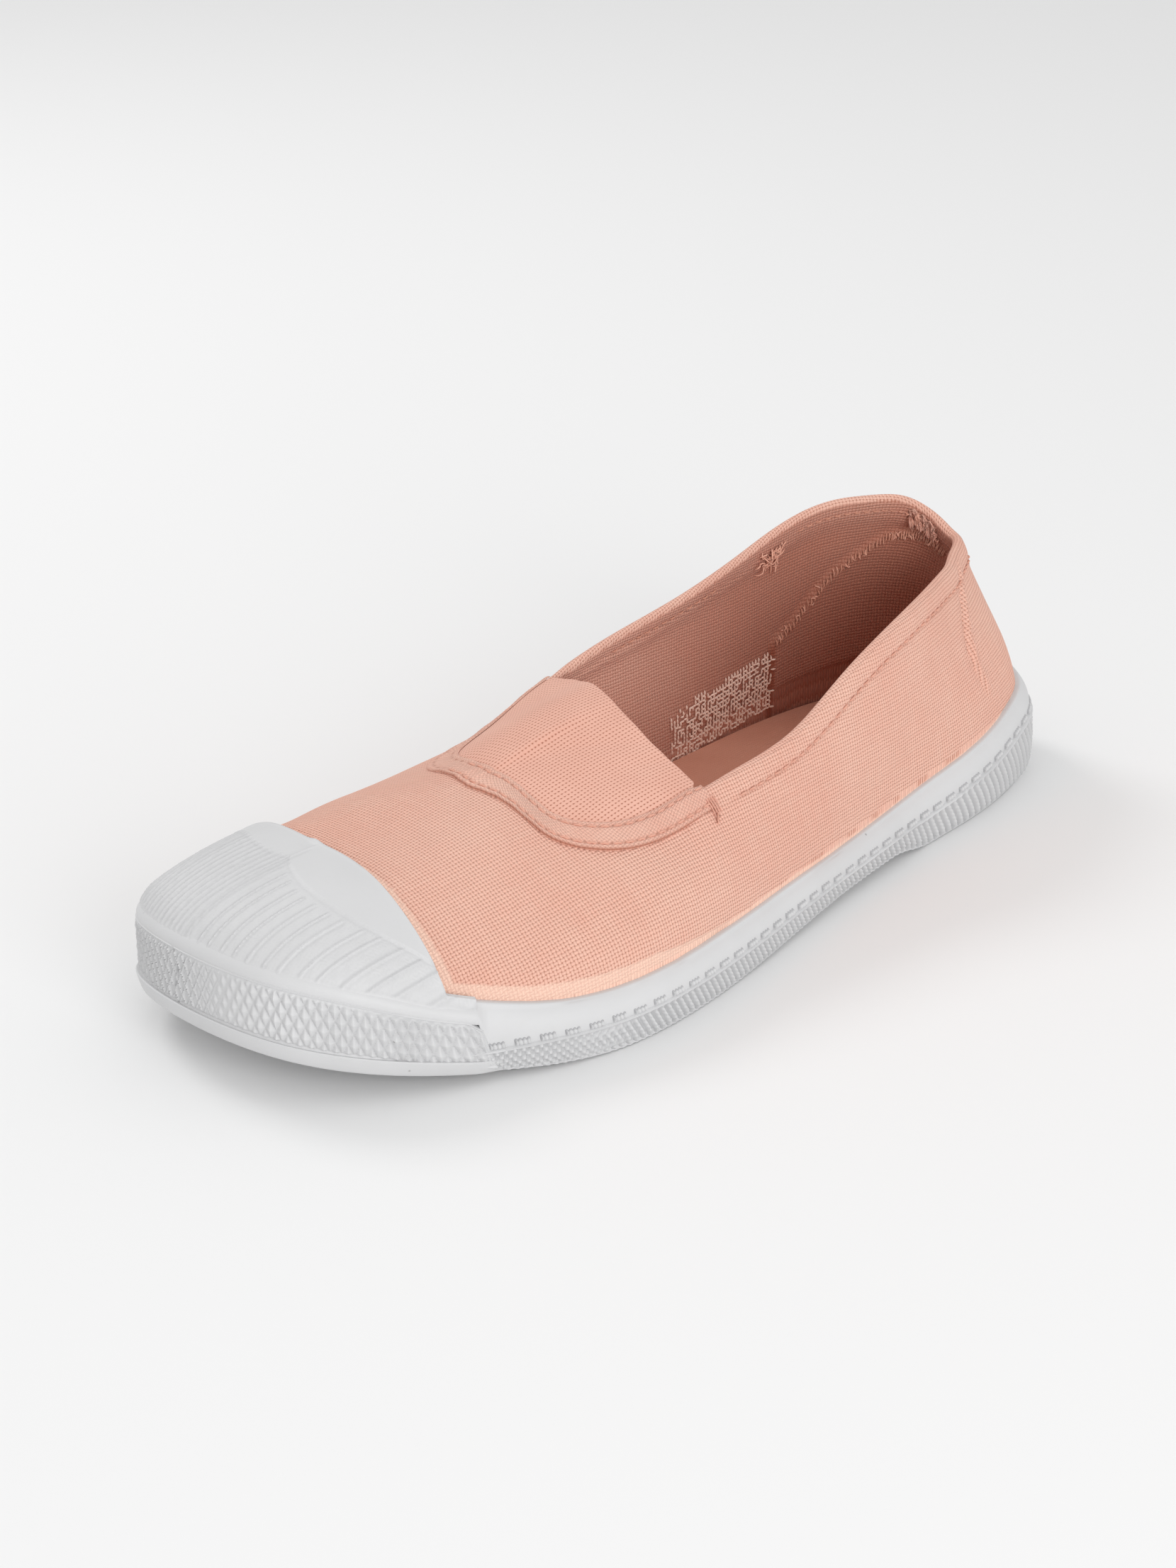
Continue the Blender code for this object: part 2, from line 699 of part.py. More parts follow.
def gore_part(place):
    """Share across the gore's rear edge that belongs to a ring index of the throat."""
    start = ring_index(THROAT_OUTER_FOOT, True)
    end = ring_index(THROAT_INNER_FOOT, False)
    return min(max((place - start) / (end - start), 0.0), 1.0)


def gore_at(place, w):
    """Gore surface: 0 at the throat's edge and 1 at its own rear edge."""
    edge = upper_at(place, 1.0)
    rear = gore_rear(gore_part(place))
    before = edge - upper_at(place, 0.9)
    direction = before / np.linalg.norm(before)
    reach = np.linalg.norm(rear - edge)
    middle = edge + direction * reach * 0.4
    middle = middle * 0.6 + (edge * 0.5 + rear * 0.5) * 0.4 + np.array((0, 0, GORE_RISE * reach))
    return edge * (1 - w) ** 2 + middle * 2 * w * (1 - w) + rear * w * w


GORE_ROWS = 5


def build_gore(surface):
    """Elastic panel between the legs of the throat, humped towards its free rear edge."""
    start = ring_index(THROAT_OUTER_FOOT, True)
    end = ring_index(THROAT_INNER_FOOT, False)
    places = np.linspace(start + 1.0, end - 1.0, int((end - start) * 0.8))
    sections = []
    for place in places:
        reach = np.linalg.norm(gore_at(place, 1.0) - gore_at(place, 0.0))
        first = min(3 * CLEARANCE / reach, 0.4)
        steps = [first + (1 - first) * k / GORE_ROWS for k in range(GORE_ROWS + 1)]
        section = [offset_at(gore_at, place, w, 0.0) for w in steps]
        section += [offset_at(gore_at, place, w, -GORE_THICKNESS) for w in steps[::-1]]
        sections.append(section)
    return swept("gore", sections, surface, closed=False)


def build_binding(surface):
    """Tape around the throat that covers the edges of the vamp and of the gore."""
    start = ring_index(THROAT_OUTER_FOOT, True)
    end = ring_index(THROAT_INNER_FOOT, False)
    places = np.linspace(start + 0.3, end - 0.3, int((end - start) * 0.9))
    sections = []
    for place in places:
        length = line_length(place)
        reach = np.linalg.norm(gore_at(place, 1.0) - gore_at(place, 0.0))
        front = 1 - BINDING_ON_VAMP / length
        back = min(BINDING_ON_GORE / reach, 0.5)
        low, high = 2 * CLEARANCE, 2 * CLEARANCE + BINDING_THICKNESS
        route = [(upper_at, front), (upper_at, (1 + front) / 2), (gore_at, 0.0), (gore_at, back)]
        section = [offset_at(form, place, v, high) for form, v in route]
        section += [offset_at(form, place, v, low) for form, v in route[::-1]]
        sections.append(section)
    return swept("gore_binding", sections, surface, closed=False)


def clear_scene():
    """Start from a scene without objects."""
    for item in list(bpy.data.objects):
        bpy.data.objects.remove(item, do_unlink=True)


def build_shoe():
    """All the pieces, with the whole shoe centred across its width."""
    canvas = material("canvas", (0.80, 0.40, 0.30), 0.9)
    knit = material("knit", (0.80, 0.42, 0.32), 0.9)
    rubber = material("white_rubber", (0.72, 0.72, 0.72), 0.5)
    lining = material("insole_cloth", (0.62, 0.30, 0.22), 0.9)
    pieces = [
        build_outsole(rubber),
        build_foxing(rubber),
        build_rib_strip(rubber),
        build_bumper(rubber),
        build_insole(lining),
        build_upper(canvas),
        build_toe_cap(rubber),
        build_gore(knit),
        build_binding(canvas),
    ]
    centre = (RING[:, 0].max() + RING[:, 0].min()) / 2
    for piece in pieces:
        piece.location.x = -centre


clear_scene()
build_shoe()
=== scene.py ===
"""Looks for the canvas slip-on sneaker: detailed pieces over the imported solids, light and camera."""
import math

import bmesh
import bpy
import numpy as np
from mathutils import Matrix, Vector


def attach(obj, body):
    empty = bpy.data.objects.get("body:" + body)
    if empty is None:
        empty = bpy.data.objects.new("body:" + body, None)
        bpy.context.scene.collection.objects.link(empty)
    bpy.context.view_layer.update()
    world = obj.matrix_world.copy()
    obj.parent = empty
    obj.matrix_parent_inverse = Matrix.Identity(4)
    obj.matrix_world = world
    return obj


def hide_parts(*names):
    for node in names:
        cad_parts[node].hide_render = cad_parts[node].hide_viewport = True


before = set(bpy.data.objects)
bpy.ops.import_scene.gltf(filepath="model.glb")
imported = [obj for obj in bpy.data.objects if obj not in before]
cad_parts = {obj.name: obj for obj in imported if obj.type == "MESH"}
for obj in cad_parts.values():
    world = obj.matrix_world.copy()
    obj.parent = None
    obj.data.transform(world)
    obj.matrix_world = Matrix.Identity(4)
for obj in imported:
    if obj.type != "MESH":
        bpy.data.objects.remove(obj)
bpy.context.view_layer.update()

MM = 0.001

# Sizes and tables of the part, as in its source; only the hem is narrower, as seen
LENGTH = 255 * MM
BALL_WIDTH = 98 * MM
INSTEP_HEIGHT = 44 * MM
COLLAR_HEIGHT = 58 * MM
TOE_SPRING = 11 * MM
ARCH_LIFT = 5 * MM
CLEARANCE = 0.3 * MM
PLATE_THICKNESS = 2.6 * MM
TOE_LIP_THICKNESS = 4.0 * MM
EDGE_CHAMFER = 0.8 * MM
TREAD_BORDER = 7 * MM
TREAD_DEPTH = 1.0 * MM
FOOTBED_RISE = 0.6 * MM
HEEL_BREAST_RUN = 16 * MM
FOXING_INSET = 2.3 * MM
FOXING_THICKNESS = 2.2 * MM
FOXING_SIDE_HEIGHT = 14 * MM
FOXING_HEEL_HEIGHT = 21.5 * MM
FOXING_TOE_HEIGHT = 22 * MM
STRIP_THICKNESS = 1.2 * MM
STRIP_SIDE_HEIGHT = 9 * MM
STRIP_HEEL_HEIGHT = 14 * MM
BUMPER_THICKNESS = 1.5 * MM
BUMPER_TOE_HEIGHT = 18.2 * MM
BUMPER_END_HEIGHT = 12 * MM
CANVAS_THICKNESS = 1.8 * MM
HEM_WIDTH = 6.6 * MM
CAP_THICKNESS = 1.4 * MM
CAP_CLEARANCE = 0.7 * MM
GORE_THICKNESS = 1.4 * MM
BINDING_ON_VAMP = 5 * MM
BINDING_ON_GORE = 3 * MM
INSOLE_THICKNESS = 3.5 * MM
HALF_RING = 40
RING_COUNT = 80

OUTLINE = (
    (0.03, 0.212, 0.205), (0.08, 0.292, 0.285), (0.16, 0.342, 0.335), (0.27, 0.368, 0.345),
    (0.40, 0.412, 0.330), (0.50, 0.462, 0.343), (0.60, 0.510, 0.403), (0.70, 0.530, 0.468),
    (0.78, 0.493, 0.494), (0.86, 0.402, 0.480), (0.93, 0.300, 0.416), (0.98, 0.160, 0.315),
)
TOE_TIP_SHARE = -0.072
WAIST_SHARE = 0.45
UPPER_OUTER = (
    (0.030, 0.070, 0.078, 0.985, -6, 0.30, 68, 0.30),
    (0.100, 0.155, 0.155, 0.980, -6, 0.30, 70, 0.30),
    (0.200, 0.235, 0.250, 0.955, -6, 0.30, 72, 0.30),
    (0.300, 0.272, 0.335, 0.870, -6, 0.30, 70, 0.30),
    (0.400, 0.290, 0.400, 0.760, -5, 0.30, 68, 0.30),
    (0.480, 0.306, 0.460, 0.923, -4, 0.30, 66, 0.30),
    (0.560, 0.308, 0.550, 0.877, -2, 0.32, 50, 0.32),
    (0.640, 0.305, 0.605, 0.828, 0, 0.34, 42, 0.34),
    (0.720, 0.280, 0.656, 0.820, -2, 0.34, 32, 0.34),
    (0.790, 0.205, 0.688, 0.854, -8, 0.30, 24, 0.34),
    (0.860, 0.132, 0.694, 0.912, -18, 0.26, 17, 0.34),
    (0.930, 0.060, 0.692, 0.956, -32, 0.22, 12, 0.34),
)
UPPER_TOE = (1.0, -0.010, 0.693, 0.975, -45, 0.20, 10, 0.34)
UPPER_INNER = (
    (0.950, -0.060, 0.690, 0.973, -46, 0.20, 12, 0.34),
    (0.900, -0.120, 0.686, 0.952, -38, 0.22, 15, 0.34),
    (0.840, -0.180, 0.675, 0.929, -24, 0.26, 21, 0.34),
    (0.770, -0.235, 0.645, 0.919, -14, 0.30, 31, 0.34),
    (0.700, -0.262, 0.600, 0.936, -8, 0.30, 40, 0.34),
    (0.620, -0.280, 0.550, 0.982, 0, 0.32, 46, 0.32),
    (0.540, -0.285, 0.512, 1.028, 0, 0.30, 60, 0.30),
    (0.450, -0.285, 0.440, 0.850, 0, 0.30, 66, 0.30),
    (0.350, -0.276, 0.350, 0.920, -2, 0.30, 70, 0.30),
    (0.250, -0.260, 0.262, 1.030, -4, 0.30, 72, 0.30),
    (0.150, -0.215, 0.175, 1.160, -4, 0.30, 74, 0.30),
    (0.060, -0.125, 0.098, 1.140, -6, 0.30, 72, 0.30),
)
UPPER_HEEL = (0.0, 0.0, 0.060, 0.985, -6, 0.30, 66, 0.30)
GORE_REAR = (
    (0.285, 0.556, 0.886), (0.205, 0.552, 0.939), (0.130, 0.549, 0.995), (0.020, 0.541, 1.074),
    (-0.090, 0.529, 1.120), (-0.190, 0.515, 1.070), (-0.262, 0.512, 1.035),
)
GORE_RISE = 0.035
HEEL_END = 0.25
ARCH_END = 0.62
SPRING_START = 0.72
BUMPER_OUTER_END = 0.853
BUMPER_INNER_END = 0.838
THROAT_OUTER_FOOT = 0.560
THROAT_INNER_FOOT = 0.540
CAP_OUTER_FOOT = 0.855
CAP_INNER_FOOT = 0.842
CAP_REAR_SHARE = 0.860
CAP_REAR_BULGE = 0.012

UPPER_INSET = FOXING_INSET + FOXING_THICKNESS + CLEARANCE
FOOTBED_INSET = UPPER_INSET + CANVAS_THICKNESS + CLEARANCE

# Sizes of the finer forms
HEM_SEAM = HEM_WIDTH - 1.3 * MM
HEM_STEP = 0.22 * MM
HEM_ROLL = 0.55 * MM
HEM_INNER_FOLD = 0.85 * MM
HEM_STITCH = 3.1 * MM
RIM_GAP = 0.5 * MM
INNER_EASE = 0.35 * MM
RAW_SLOPE = 2.4 * MM
BINDING_WIDTH = BINDING_ON_VAMP + BINDING_ON_GORE
BINDING_SEAMS = (1.5 * MM, 6.3 * MM)
BINDING_STITCH = 2.9 * MM
GRAIN_ANGLE = math.radians(38)
FOXING_TOP_INSET = 3.5 * MM
FOXING_EDGE = 0.45 * MM
BACK_INSET = FOXING_INSET - 0.05 * MM
BACK_ROWS = 6
DASH_PITCH = 5.5 * MM
DASH_LENGTH = 3.7 * MM
RIB_PITCH_SIDE = 1.90 * MM
RIB_PITCH_HEEL = 2.55 * MM
CAP_RIB_PITCH = 3.15 * MM
CAP_FINE_PITCH = 1.65 * MM
DIAMOND_WIDTH = 2.42 * MM
DIAMOND_HEIGHT = 4.9 * MM
TREAD_PITCH = 6.4 * MM
TREAD_ZIGZAG = 14 * MM
GAUZE_PITCH = 1.15 * MM
STITCH_RADIUS = 0.24 * MM
BARTACK_RADIUS = 0.14 * MM
GAUZE_RADIUS = 0.26 * MM
INNER_STITCH_RADIUS = 0.20 * MM
FRAY_RADIUS = 0.17 * MM
TUBE_SIDES = 6
LINING_SAMPLES = 90

# Changes of the rubber's heights in mm, by ring place on either side
SIDE_PLACE = (0, 2, 3, 4, 5, 6, 7, 8, 10, 12, 16, 20, 26, 31, 40)
FOXING_SHIFT = (3.2, 3.0, 1.9, 1.2, 0.5, -0.5, -1.2, -1.7, -1.8, -1.8, -1.7, -1.3, -0.8, 0.0, 0.0)
STRIP_SHIFT = (3.0, 3.0, 3.0, 2.8, 2.0, 0.7, -0.5, -1.2, -2.0, -1.8, -1.6, -1.6, -1.4, -1.2, -1.2)
# Sewn edge of the counter inside: ring places on either side and shares up the wall
COUNTER_PLACE = (0, 3, 4.55, 5.5, 6.75, 7.6, 8.5, 9.4)
COUNTER_SHARE = (0.80, 0.80, 0.738, 0.663, 0.55, 0.456, 0.369, 0.312)
# Front border of the cap's crescent band: x and distance from the heel in mm
CRESCENT = (
    (-44, 214), (-36, 218.5), (-30, 221.6), (-22.8, 224.8), (-18.4, 226.8), (-13.8, 227.7), (-9.9, 227.6),
    (-6.2, 227.0), (-3.5, 229.3), (0.1, 230.9), (3.8, 232.1), (8.1, 232.6), (11.1, 232.5), (14.9, 232.0),
    (18.6, 230.6), (24, 227.4), (30, 222.6), (36, 216.5), (40, 212),
)


# Outline and heights

def ramp(low, high, value):
    """0 below low, 1 above high, with a soft ramp between."""
    t = np.clip((np.asarray(value, float) - low) / (high - low), 0.0, 1.0)
    return t * t * (3 - 2 * t)


def bell(value, middle, width):
    """Soft hill of height 1 around a middle."""
    return np.exp(-((np.asarray(value, float) - middle) / width) ** 2)


def closed_spline(knots, rows, where):
    """Smooth closed curve through rows at the knots; the last knot is where the first row returns."""
    rows = np.asarray(rows, float)
    count = len(rows)
    gaps = np.diff(knots)
    matrix = np.zeros((count, count))
    right = np.zeros_like(rows)
    for i in range(count):
        before, after = gaps[i - 1], gaps[i]
        matrix[i, i - 1] += before
        matrix[i, i] += 2 * (before + after)
        matrix[i, (i + 1) % count] += after
        right[i] = 6 * ((rows[(i + 1) % count] - rows[i]) / after - (rows[i] - rows[i - 1]) / before)
    bends = np.linalg.solve(matrix, right)
    where = knots[0] + (np.asarray(where, float) - knots[0]) % (knots[-1] - knots[0])
    i = np.clip(np.searchsorted(knots, where, side="right") - 1, 0, count - 1)
    j = (i + 1) % count
    gap = gaps[i][:, None]
    a = ((knots[i + 1] - where) / gaps[i])[:, None]
    b = 1 - a
    return a * rows[i] + b * rows[j] + ((a ** 3 - a) * bends[i] + (b ** 3 - b) * bends[j]) * gap ** 2 / 6


def along(points):
    """Distance along a run of points, starting at 0."""
    return np.concatenate(([0.0], np.cumsum(np.linalg.norm(np.diff(points, axis=0), axis=1))))


def make_outline():
    """Dense outline of the sole: ring places from 0 to RING_COUNT and plan points."""
    outer = [(wide * BALL_WIDTH, share * LENGTH) for share, wide, _ in OUTLINE]
    inner = [(-wide * BALL_WIDTH, share * LENGTH) for share, _, wide in OUTLINE]
    rows = np.array([(0.0, 0.0)] + outer + [(TOE_TIP_SHARE * BALL_WIDTH, LENGTH)] + inner[::-1])
    closed = np.vstack((rows, rows[:1]))
    knots = np.concatenate(([0.0], np.cumsum(np.sqrt(np.linalg.norm(np.diff(closed, axis=0), axis=1)))))
    dense = closed_spline(knots, rows, np.linspace(knots[0], knots[-1], 4001)[:-1])
    toe = int(np.argmax(dense[:, 1]))
    halves = (dense[:toe + 1], np.vstack((dense[toe:], dense[:1])))
    places, spots = [], []
    for n, half in enumerate(halves):
        reach = along(half)
        places.append(HALF_RING * (n + reach / reach[-1])[n:])
        spots.append(half[n:])
    return np.concatenate(places), np.vstack(spots)


PLACE, SPOT = make_outline()
RING = np.column_stack([np.interp(np.arange(RING_COUNT), PLACE, SPOT[:, k]) for k in (0, 1)])
CENTRE = (RING[:, 0].max() + RING[:, 0].min()) / 2
EITHER_SIDE = 8
wide = np.vstack((SPOT[-EITHER_SIDE - 1:-1], SPOT, SPOT[1:EITHER_SIDE + 1]))
slope = wide[2 * EITHER_SIDE:] - wide[:-2 * EITHER_SIDE]
OUTWARD = np.column_stack((slope[:, 1], -slope[:, 0]))
OUTWARD /= np.linalg.norm(OUTWARD, axis=1)[:, None]
STEP = along(SPOT)[-1] / RING_COUNT


def plan(place):
    """Plan points of the outline, x and distance from the heel."""
    p = np.asarray(place, float) % RING_COUNT
    return np.stack([np.interp(p, PLACE, SPOT[:, k]) for k in (0, 1)], axis=-1)


def outward(place):
    """Outward direction of the outline."""
    p = np.asarray(place, float) % RING_COUNT
    n = np.stack([np.interp(p, PLACE, OUTWARD[:, k]) for k in (0, 1)], axis=-1)
    return n / np.linalg.norm(n, axis=-1, keepdims=True)


def ring_index(share, outer):
    """Ring place where one side of the outline passes a share of the length."""
    if outer:
        return float(np.interp(share * LENGTH, RING[:HALF_RING + 1, 1], np.arange(HALF_RING + 1)))
    back = np.vstack((RING[HALF_RING:], RING[:1]))[::-1]
    return RING_COUNT - float(np.interp(share * LENGTH, back[:, 1], np.arange(HALF_RING + 1)))


def ground(run):
    """Height of the sole's underside."""
    share = np.asarray(run, float) / LENGTH
    spring = TOE_SPRING * np.clip((share - SPRING_START) / (1 - SPRING_START), 0, None) ** 2
    breast = ramp(HEEL_END, HEEL_END + HEEL_BREAST_RUN / LENGTH, share)
    return spring + ARCH_LIFT * breast * (1 - ramp(HEEL_END + 0.05, ARCH_END, share))


def toe_lift(run):
    """Height of the underside in front of the ball."""
    share = np.asarray(run, float) / LENGTH
    return TOE_SPRING * np.clip((share - SPRING_START) / (1 - SPRING_START), 0, None) ** 2


def sole_thickness(run):
    """Thickness of the outsole's rim."""
    return PLATE_THICKNESS + (TOE_LIP_THICKNESS - PLATE_THICKNESS) * ramp(0.72, 0.97, run / LENGTH)


def heel_blend(run):
    """1 at the heel and 0 from the waist on."""
    return 1 - ramp(0.02, 0.42, run / LENGTH)


def rim_top(run):
    """Height of the outsole's rim."""
    return ground(run) + sole_thickness(run)


def rim_seat(run):
    """Height of what stands on the rim."""
    return rim_top(run) + CLEARANCE


def footbed(run):
    """Height of the outsole's upper face inside the rim."""
    arch = ARCH_LIFT * (1 - ramp(0.42, 0.70, run / LENGTH))
    return toe_lift(run) + sole_thickness(run) + arch + FOOTBED_RISE


def foxing_top(run):
    """Height of the foxing's upper edge."""
    height = FOXING_SIDE_HEIGHT
    height = height + (FOXING_HEEL_HEIGHT - FOXING_SIDE_HEIGHT) * heel_blend(run)
    height = height + (FOXING_TOE_HEIGHT - 1.8 * MM - FOXING_SIDE_HEIGHT) * ramp(0.80, 0.98, run / LENGTH)
    return height + toe_lift(run)


def strip_top(run):
    """Height of the ribbed strip's upper edge."""
    return STRIP_SIDE_HEIGHT + (STRIP_HEEL_HEIGHT - STRIP_SIDE_HEIGHT) * heel_blend(run)


def bumper_top(run):
    """Height of the bumper's upper edge."""
    blend = ramp(0.84, 0.98, run / LENGTH)
    return ground(run) + BUMPER_END_HEIGHT + (BUMPER_TOE_HEIGHT - 1.8 * MM - BUMPER_END_HEIGHT) * blend


FINE_PLACE = np.linspace(0, HALF_RING, 401)
SMOOTHING = 17


def shift(place, table):
    """Small change of a height, from a table by ring place on either side."""
    p = np.asarray(place, float) % RING_COUNT
    fine = np.pad(np.interp(FINE_PLACE, SIDE_PLACE, table), SMOOTHING // 2, mode="edge")
    fine = np.convolve(fine, np.ones(SMOOTHING) / SMOOTHING, mode="valid")
    return np.interp(np.minimum(p, RING_COUNT - p), FINE_PLACE, fine) * MM


def seen_ground(run):
    """Underside with the shallower arch of the photograph."""
    lift = ground(run) - toe_lift(run)
    return toe_lift(run) + 0.46 * lift


def spot(x, run, z):
    """Point of the row's frame from x, distance from the heel and height."""
    x, run, z = np.broadcast_arrays(x, run, z)
    return np.stack((x - CENTRE, LENGTH / 2 - run, z), axis=-1)


def measures(p):
    """The reverse of spot: x, distance from the heel and height of points."""
    return p[..., 0] + CENTRE, LENGTH / 2 - p[..., 1], p[..., 2]


def beside(place, inset, z):
    """Points at an inset from the outline and at height z, or z(distance from the heel)."""
    flat = plan(place) - outward(place) * np.asarray(inset, float)[..., None]
    return spot(flat[..., 0], flat[..., 1], z(flat[..., 1]) if callable(z) else z)


# Surface of the upper and the gore

def upper_table():
    """The table's rows with their ring places as knots."""
    rows = [UPPER_HEEL] + list(UPPER_OUTER) + [UPPER_TOE] + list(UPPER_INNER)
    knots = [0.0] + [ring_index(row[0], True) for row in UPPER_OUTER] + [float(HALF_RING)]
    knots += [ring_index(row[0], False) for row in UPPER_INNER] + [float(RING_COUNT)]
    values = []
    for _, x, s, z, lean, low, slope, high in rows:
        full = INSTEP_HEIGHT if s > WAIST_SHARE else COLLAR_HEIGHT
        values.append((x * BALL_WIDTH, s * LENGTH, z * full,
                       math.radians(lean), low, math.radians(slope), high))
    return np.array(knots), np.array(values)


KNOTS, VALUES = upper_table()


def upper_controls(place):
    """Four control points of each rising line, in x, run and height."""
    place = np.asarray(place, float)
    values = closed_spline(KNOTS, VALUES, place)
    lean, low, slope, high = values[:, 3], values[:, 4:5], values[:, 5], values[:, 6:7]
    out = outward(place)
    flat_foot = plan(place) - out * UPPER_INSET
    foot = np.column_stack((flat_foot, foxing_top(flat_foot[:, 1])))
    top = values[:, :3]
    reach = np.linalg.norm(top - foot, axis=1)[:, None]
    rise = np.column_stack((out * np.sin(lean)[:, None], np.cos(lean)))
    inward = foot[:, :2] - top[:, :2]
    flat = out * 0.5 + inward / (np.linalg.norm(inward, axis=1)[:, None] + CLEARANCE) * 0.5
    flat /= np.linalg.norm(flat, axis=1)[:, None]
    fall = np.column_stack((flat * np.cos(slope)[:, None], -np.sin(slope)))
    return np.stack((foot, foot + rise * reach * low, top + fall * reach * high, top), axis=1)


def worn(p):
    """Small shifts of the worn canvas: heel collar pulled up and in, inner edge of the throat sunk."""
    x, run, z = measures(p)
    heel = 1 - ramp(22 * MM, 36 * MM, run)
    raised = 2.9 * MM * heel * ramp(42 * MM, 58 * MM, z) * bell(x, -3.5 * MM, 11 * MM)
    pulled = 2.7 * MM * heel * ramp(24 * MM, 46 * MM, z) * bell(x, 7 * MM, 12 * MM)
    sunk = 2.0 * MM * ramp(10 * MM, 24 * MM, -x) * bell(run, 160 * MM, 20 * MM) * ramp(32 * MM, 41 * MM, z)
    full = bell(run, 224 * MM, 20 * MM) * ramp(6 * MM, 20 * MM, -x) * ramp(17 * MM, 28 * MM, z)
    return p + np.stack((-1.1 * MM * full, -pulled, raised - sunk + 0.9 * MM * full), axis=-1)


def curve_points(controls, v):
    """Points of the rising lines: controls (n, 4, 3), v (n, m)."""
    v = v[..., None]
    w = 1 - v
    a, b, c, d = (controls[:, None, k] for k in range(4))
    p = a * w ** 3 + b * 3 * w * w * v + c * 3 * w * v * v + d * v ** 3
    return worn(spot(p[..., 0], p[..., 1], p[..., 2]))


def line_lengths(controls):
    """Length of each rising line."""
    v = np.broadcast_to(np.linspace(0, 1, 41), (len(controls), 41))
    p = curve_points(controls, v)
    return np.linalg.norm(np.diff(p, axis=1), axis=2).sum(axis=1)


def climb(grid):
    """Distance of each point of a grid from the first point of its row."""
    step = np.linalg.norm(np.diff(grid, axis=1), axis=2)
    return np.hstack((np.zeros((len(grid), 1)), np.cumsum(step, axis=1)))


def normals(grid, wrap):
    """Outward unit normals of a grid whose first axis goes around and whose second goes up."""
    if wrap:
        across = np.roll(grid, -1, axis=0) - np.roll(grid, 1, axis=0)
    else:
        across = np.gradient(grid, axis=0)
    upward = np.gradient(grid, axis=1)
    n = np.cross(upward, across)
    return n / (np.linalg.norm(n, axis=2, keepdims=True) + 1e-12)


def hermite(rows, part):
    """Smooth open curve through rows at parts from 0 to 1."""
    rows = np.asarray(rows, float)
    t = np.clip(np.asarray(part, float), 0, 1) * (len(rows) - 1)
    i = np.minimum(t.astype(int), len(rows) - 2)
    t = (t - i)[:, None]
    before, after = rows[np.maximum(i - 1, 0)], rows[np.minimum(i + 2, len(rows) - 1)]
    a, b = rows[i], rows[i + 1]
    slope_a, slope_b = (b - before) / 2, (after - a) / 2
    return (a * (2 * t ** 3 - 3 * t ** 2 + 1) + slope_a * (t ** 3 - 2 * t ** 2 + t)
            + b * (3 * t ** 2 - 2 * t ** 3) + slope_b * (t ** 3 - t ** 2))


THROAT_START = ring_index(THROAT_OUTER_FOOT, True)
THROAT_END = ring_index(THROAT_INNER_FOOT, False)


def gore_points(place, w):
    """Gore surface at ring places (n) and shares w (n, m) from the throat's edge to its own rear edge."""
    controls = upper_controls(place)
    edge = curve_points(controls, np.ones((len(place), 1)))[:, 0]
    before = edge - curve_points(controls, np.full((len(place), 1), 0.9))[:, 0]
    part = (place - THROAT_START) / (THROAT_END - THROAT_START)
    rear = hermite(np.array(GORE_REAR) * (BALL_WIDTH, LENGTH, INSTEP_HEIGHT), part)
    rear = spot(rear[:, 0], rear[:, 1], rear[:, 2])
    direction = before / np.linalg.norm(before, axis=1)[:, None]
    reach = np.linalg.norm(rear - edge, axis=1)[:, None]
    middle = edge + direction * reach * 0.4
    middle = middle * 0.6 + (edge + rear) * 0.2
    middle[:, 2] += GORE_RISE * reach[:, 0] + 2.4 * MM * bell(part, 0.72, 0.17)
    w = w[..., None]
    return edge[:, None] * (1 - w) ** 2 + middle[:, None] * 2 * w * (1 - w) + rear[:, None] * w * w


def gore_reach(place):
    """Straight distance across the gore at each ring place."""
    ends = gore_points(place, np.broadcast_to((0.0, 1.0), (len(place), 2)))
    return np.linalg.norm(ends[:, 1] - ends[:, 0], axis=1)


# Mesh building

def make_piece(name, vertices, groups, surface, node=None, sharp=60, uv=None, fields=None, turn=False):
    """One smooth piece from groups of faces of equal size; uv by face corner, fields by vertex.

    sharp is the angle of sharp edges in degrees. turn makes all faces look outward.
    """
    sizes = np.concatenate([np.full(len(faces), faces.shape[1]) for faces in groups])
    flat = np.concatenate([faces.ravel() for faces in groups])
    mesh = bpy.data.meshes.new(name)
    mesh.vertices.add(len(vertices))
    mesh.vertices.foreach_set("co", vertices.astype(np.float32).ravel())
    mesh.loops.add(len(flat))
    mesh.loops.foreach_set("vertex_index", flat.astype(np.int32))
    mesh.polygons.add(len(sizes))
    mesh.polygons.foreach_set("loop_start", np.concatenate(([0], np.cumsum(sizes)[:-1])).astype(np.int32))
    mesh.update(calc_edges=True)
    if uv is not None:
        mesh.uv_layers.new(name="cloth").data.foreach_set("uv", uv.astype(np.float32).ravel())
    for key, values in (fields or {}).items():
        field = mesh.attributes.new(key, "FLOAT", "POINT")
        field.data.foreach_set("value", np.asarray(values, np.float32).reshape(-1))
    mesh.validate()
    if turn:
        work = bmesh.new()
        work.from_mesh(mesh)
        bmesh.ops.recalc_face_normals(work, faces=work.faces)
        work.to_mesh(mesh)
        work.free()
    mesh.shade_smooth()
    mesh.set_sharp_from_angle(angle=math.radians(sharp))
    piece = bpy.data.objects.new(name, mesh)
    bpy.context.collection.objects.link(piece)
    mesh.materials.append(surface)
    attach(piece, "root")
    if node:
        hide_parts(node)
    return piece


def look_outward(points, faces):
    """Whether the quads of a closed shape look outward, by the sign of its volume."""
    q = points[faces] - points.mean(axis=0)
    volume = np.einsum("ij,ij->i", q[:, 0], np.cross(q[:, 1], q[:, 2])).sum()
    volume += np.einsum("ij,ij->i", q[:, 0], np.cross(q[:, 2], q[:, 3])).sum()
    return volume >= 0


